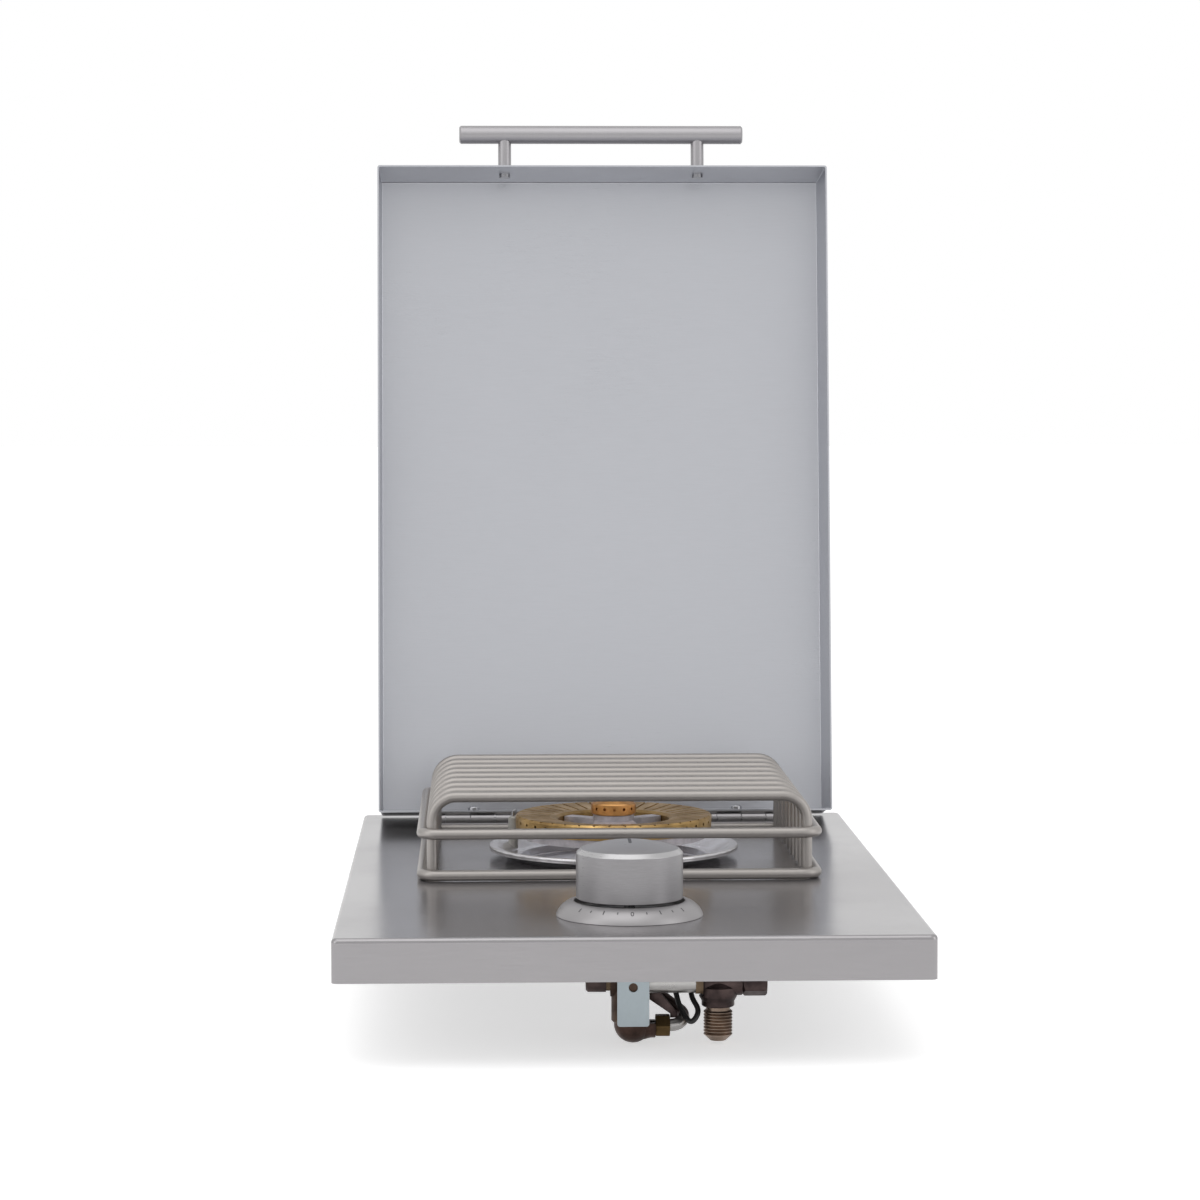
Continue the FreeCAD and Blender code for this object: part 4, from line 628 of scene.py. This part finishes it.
# folded lid, made shut and swung open as in the photograph
lid = {"width": 295.0, "length": 423.0, "depth": 62.0, "sheet": 1.0, "fold": 1.6, "backY": 177.8,
       "rimZ": 26.4, "leafHeight": 26.0, "flare": 3.0}


def makeLid(d):
    work = blockWork(d["width"], d["length"], d["depth"])
    moveWork(work, 0, d["backY"] - d["length"] / 2, d["rimZ"] + d["depth"] / 2)
    bmesh.ops.delete(work, geom=[f for f in work.faces if f.normal.z < -0.9], context="FACES")
    # above the hinge leaf the rear wall flares a little, so the open lid comes down to the tray
    rear = [f for f in work.faces if f.normal.y > 0.9]
    bmesh.ops.bisect_plane(work, geom=rear + rear[0].edges[:] + rear[0].verts[:], dist=cutGap,
                           plane_co=(0, 0, (d["rimZ"] + d["leafHeight"]) * mm), plane_no=(0, 0, 1))
    back, crest = max(v.co.y for v in work.verts), max(v.co.z for v in work.verts)
    for corner in work.verts:
        if corner.co.y > back - sameSpot and corner.co.z > crest - sameSpot:
            corner.co.y += d["flare"] * mm
    easeEdges(work, [e for e in work.edges if len(e.link_faces) == 2], d["fold"], 6)
    bmesh.ops.solidify(work, geom=work.faces[:], thickness=d["sheet"] * mm)
    bmesh.ops.transform(work, matrix=lidSwing, verts=work.verts)
    putPiece("lidShell", work, "lid", "lidSteel", ("lid_shell",))


makeLid(lid)
print("lid folded")

# return spring in the valve, squeezed as the knob goes in; low and top are its wire's middle at the two ends
spring = {"radius": 4.4, "wire": 0.5, "turns": 4, "turnSteps": 24, "low": 7.3, "top": 16.6}


def makeSpring(p):
    curve = wireCurve("stemSpring", p["wire"], 3)
    coil = curve.splines.new("POLY")
    steps = p["turns"] * p["turnSteps"]
    coil.points.add(steps)
    for i, knot in enumerate(coil.points):
        turn = 2 * math.pi * i / p["turnSteps"]
        height = p["low"] + (p["top"] - p["low"]) * i / steps
        x, y = p["radius"] * math.cos(turn), knobY + p["radius"] * math.sin(turn)
        knot.co = (x * mm, y * mm, height * mm, 1)
    piece = putPiece("stemSpring", curveWork(curve), "valve_rotor", "screwSteel",
                     ("stem_spring",), sharp=40)
    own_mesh(piece)


makeSpring(spring)
print("spring wound")

# gas train under the valve: union nut, supply tube and its tie strip
gas = {"arm": 14.0, "axisZ": -37.2, "nutLength": 8.0, "nutFlat": 11.2, "nutEdge": 0.7, "tube": 3.4,
       "sunk": 1.0, "bend": 7.0, "out": 38.4, "riserX": 14.6, "riserZ": -22.2, "turnY": -157.0,
       "endY": -149.0, "jetZ": 10.8}
# the strip slopes down to a short upright foot; x and z are its outline's corners, left to right and down
strip = {"y": -177.5, "sheet": 1.5, "edge": 0.25, "elbow": 0.6,
         "x": (11.0, 16.0, 22.3, 26.4), "z": (-18.5, -23.4, -31.2, -33.5)}


def makeUnionNut(g):
    work = discWork(g["nutFlat"] / math.sqrt(3), g["nutLength"], 6)
    easeEdges(work, work.edges[:], g["nutEdge"], 3, 0.6)
    spot = Matrix.Translation(((g["arm"] + g["nutLength"] / 2) * mm, knobY * mm, g["axisZ"] * mm))
    bmesh.ops.transform(work, matrix=spot @ turned(90, "Y"), verts=work.verts)
    putPiece("unionNut", work, "tray", "plainBrass", ("union_nut",))


def makeGasTube(g):
    route = [(g["arm"] + g["nutLength"] - g["sunk"], knobY, g["axisZ"]), (g["out"], knobY, g["axisZ"]),
             (g["riserX"], g["turnY"], g["riserZ"]), (g["riserX"], g["turnY"], g["jetZ"]),
             (0, g["turnY"], g["jetZ"]), (0, g["endY"], g["jetZ"])]
    work = bentWire("gasTube", route, g["bend"], g["tube"], smooth=12)
    putPiece("gasTube", work, "tray", "supplyTube", ("gas_tube",), sharp=50)


def makeTieStrip(s):
    (x0, x1, x2, x3), (z0, z1, z2, z3) = s["x"], s["z"]
    outline = [(x0, z0), (x1, z0), (x3, z2 + s["elbow"]), (x3, z3), (x2, z3), (x2, z2), (x0, z1)]
    work = bmesh.new()
    front = work.faces.new([work.verts.new((x * mm, s["y"] * mm, z * mm)) for x, z in outline])
    body = bmesh.ops.extrude_face_region(work, geom=[front])
    moved = [v for v in body["geom"] if isinstance(v, bmesh.types.BMVert)]
    bmesh.ops.translate(work, verts=moved, vec=(0, s["sheet"] * mm, 0))
    easeEdges(work, work.edges[:], s["edge"], 2)
    putPiece("tieStrip", work, "tray", "darkSteel", ("tube_strip",))


makeUnionNut(gas)
makeGasTube(gas)
makeTieStrip(strip)
print("gas train dressed")

# floor, sky and lamps, in metres and watts
stage = {"floorDrop": 0.0475, "floorSize": 30.0, "floorColour": (0.80, 0.80, 0.80), "floorRough": 0.9,
         "floorGlow": 0.55, "skyStrength": 0.62}
lamps = {
    "topBox": {"place": (-0.3, -0.7, 2.2), "target": (0, 0, 0.1), "size": (2.4, 2.2), "power": 17},
    "leftBox": {"place": (-2.2, -1.2, 1.2), "target": (0, 0, 0.2), "size": (1.4, 1.8), "power": 8},
    "rightBox": {"place": (2.2, -1.0, 1.0), "target": (0, 0, 0.2), "size": (1.2, 1.8), "power": 8},
}


def floorPaint(setup):
    # glows to the camera and in reflections only, so the floor passes into the white behind it
    skin = Finish("floorPaint")
    tree, matt = skin.tree, skin.shader.outputs["BSDF"]
    skin.feed("Base Color", (*setup["floorColour"], 1))
    skin.feed("Roughness", setup["floorRough"])
    glow = addNode(tree, "ShaderNodeEmission", Strength=setup["floorGlow"])
    bright = tree.nodes.new("ShaderNodeAddShader")
    tree.links.new(matt, bright.inputs[0])
    tree.links.new(glow.outputs["Emission"], bright.inputs[1])
    path = tree.nodes.new("ShaderNodeLightPath").outputs
    seen = mathNode(tree, "MAXIMUM", path["Is Camera Ray"], path["Is Glossy Ray"])
    both = mixShaders(tree, seen, matt, bright.outputs["Shader"])
    tree.links.new(both, tree.nodes["Material Output"].inputs["Surface"])
    return skin.material


def makeFloor(setup):
    mesh = bpy.data.meshes.new("paleFloor")
    sheet = bmesh.new()
    bmesh.ops.create_grid(sheet, x_segments=1, y_segments=1, size=setup["floorSize"] / 2)
    bmesh.ops.translate(sheet, verts=sheet.verts, vec=(0, 0, -setup["floorDrop"]))
    sheet.to_mesh(mesh)
    sheet.free()
    floor = bpy.data.objects.new("paleFloor", mesh)
    bpy.context.scene.collection.objects.link(floor)
    mesh.materials.append(floorPaint(setup))


def makeSky(setup):
    # white to the camera and in reflections, and a plain grey light otherwise
    world = bpy.data.worlds.new("studioSky")
    world.use_nodes = True
    bpy.context.scene.world = world
    tree = world.node_tree
    sky = tree.nodes["Background"]
    sky.inputs["Color"].default_value = (1, 1, 1, 1)
    sky.inputs["Strength"].default_value = setup["skyStrength"]
    white = addNode(tree, "ShaderNodeBackground", Color=(1, 1, 1, 1), Strength=1.0)
    path = tree.nodes.new("ShaderNodeLightPath").outputs
    mirrored = mathNode(tree, "MAXIMUM", path["Is Glossy Ray"], path["Is Transmission Ray"])
    seen = mathNode(tree, "MAXIMUM", path["Is Camera Ray"], mirrored)
    both = mixShaders(tree, seen, sky.outputs["Background"], white.outputs["Background"])
    tree.links.new(both, tree.nodes["World Output"].inputs["Surface"])


def makeLamp(name, place, target, size, power):
    data = bpy.data.lights.new(name, "AREA")
    data.shape = "RECTANGLE"
    data.size, data.size_y = size
    data.energy = power
    lamp = bpy.data.objects.new(name, data)
    lamp.location = place
    lamp.rotation_euler = (Vector(target) - Vector(place)).to_track_quat("-Z", "Y").to_euler()
    bpy.context.scene.collection.objects.link(lamp)


makeFloor(stage)
makeSky(stage)
for name, lamp in lamps.items():
    makeLamp(name, **lamp)
print("floor and light ready")
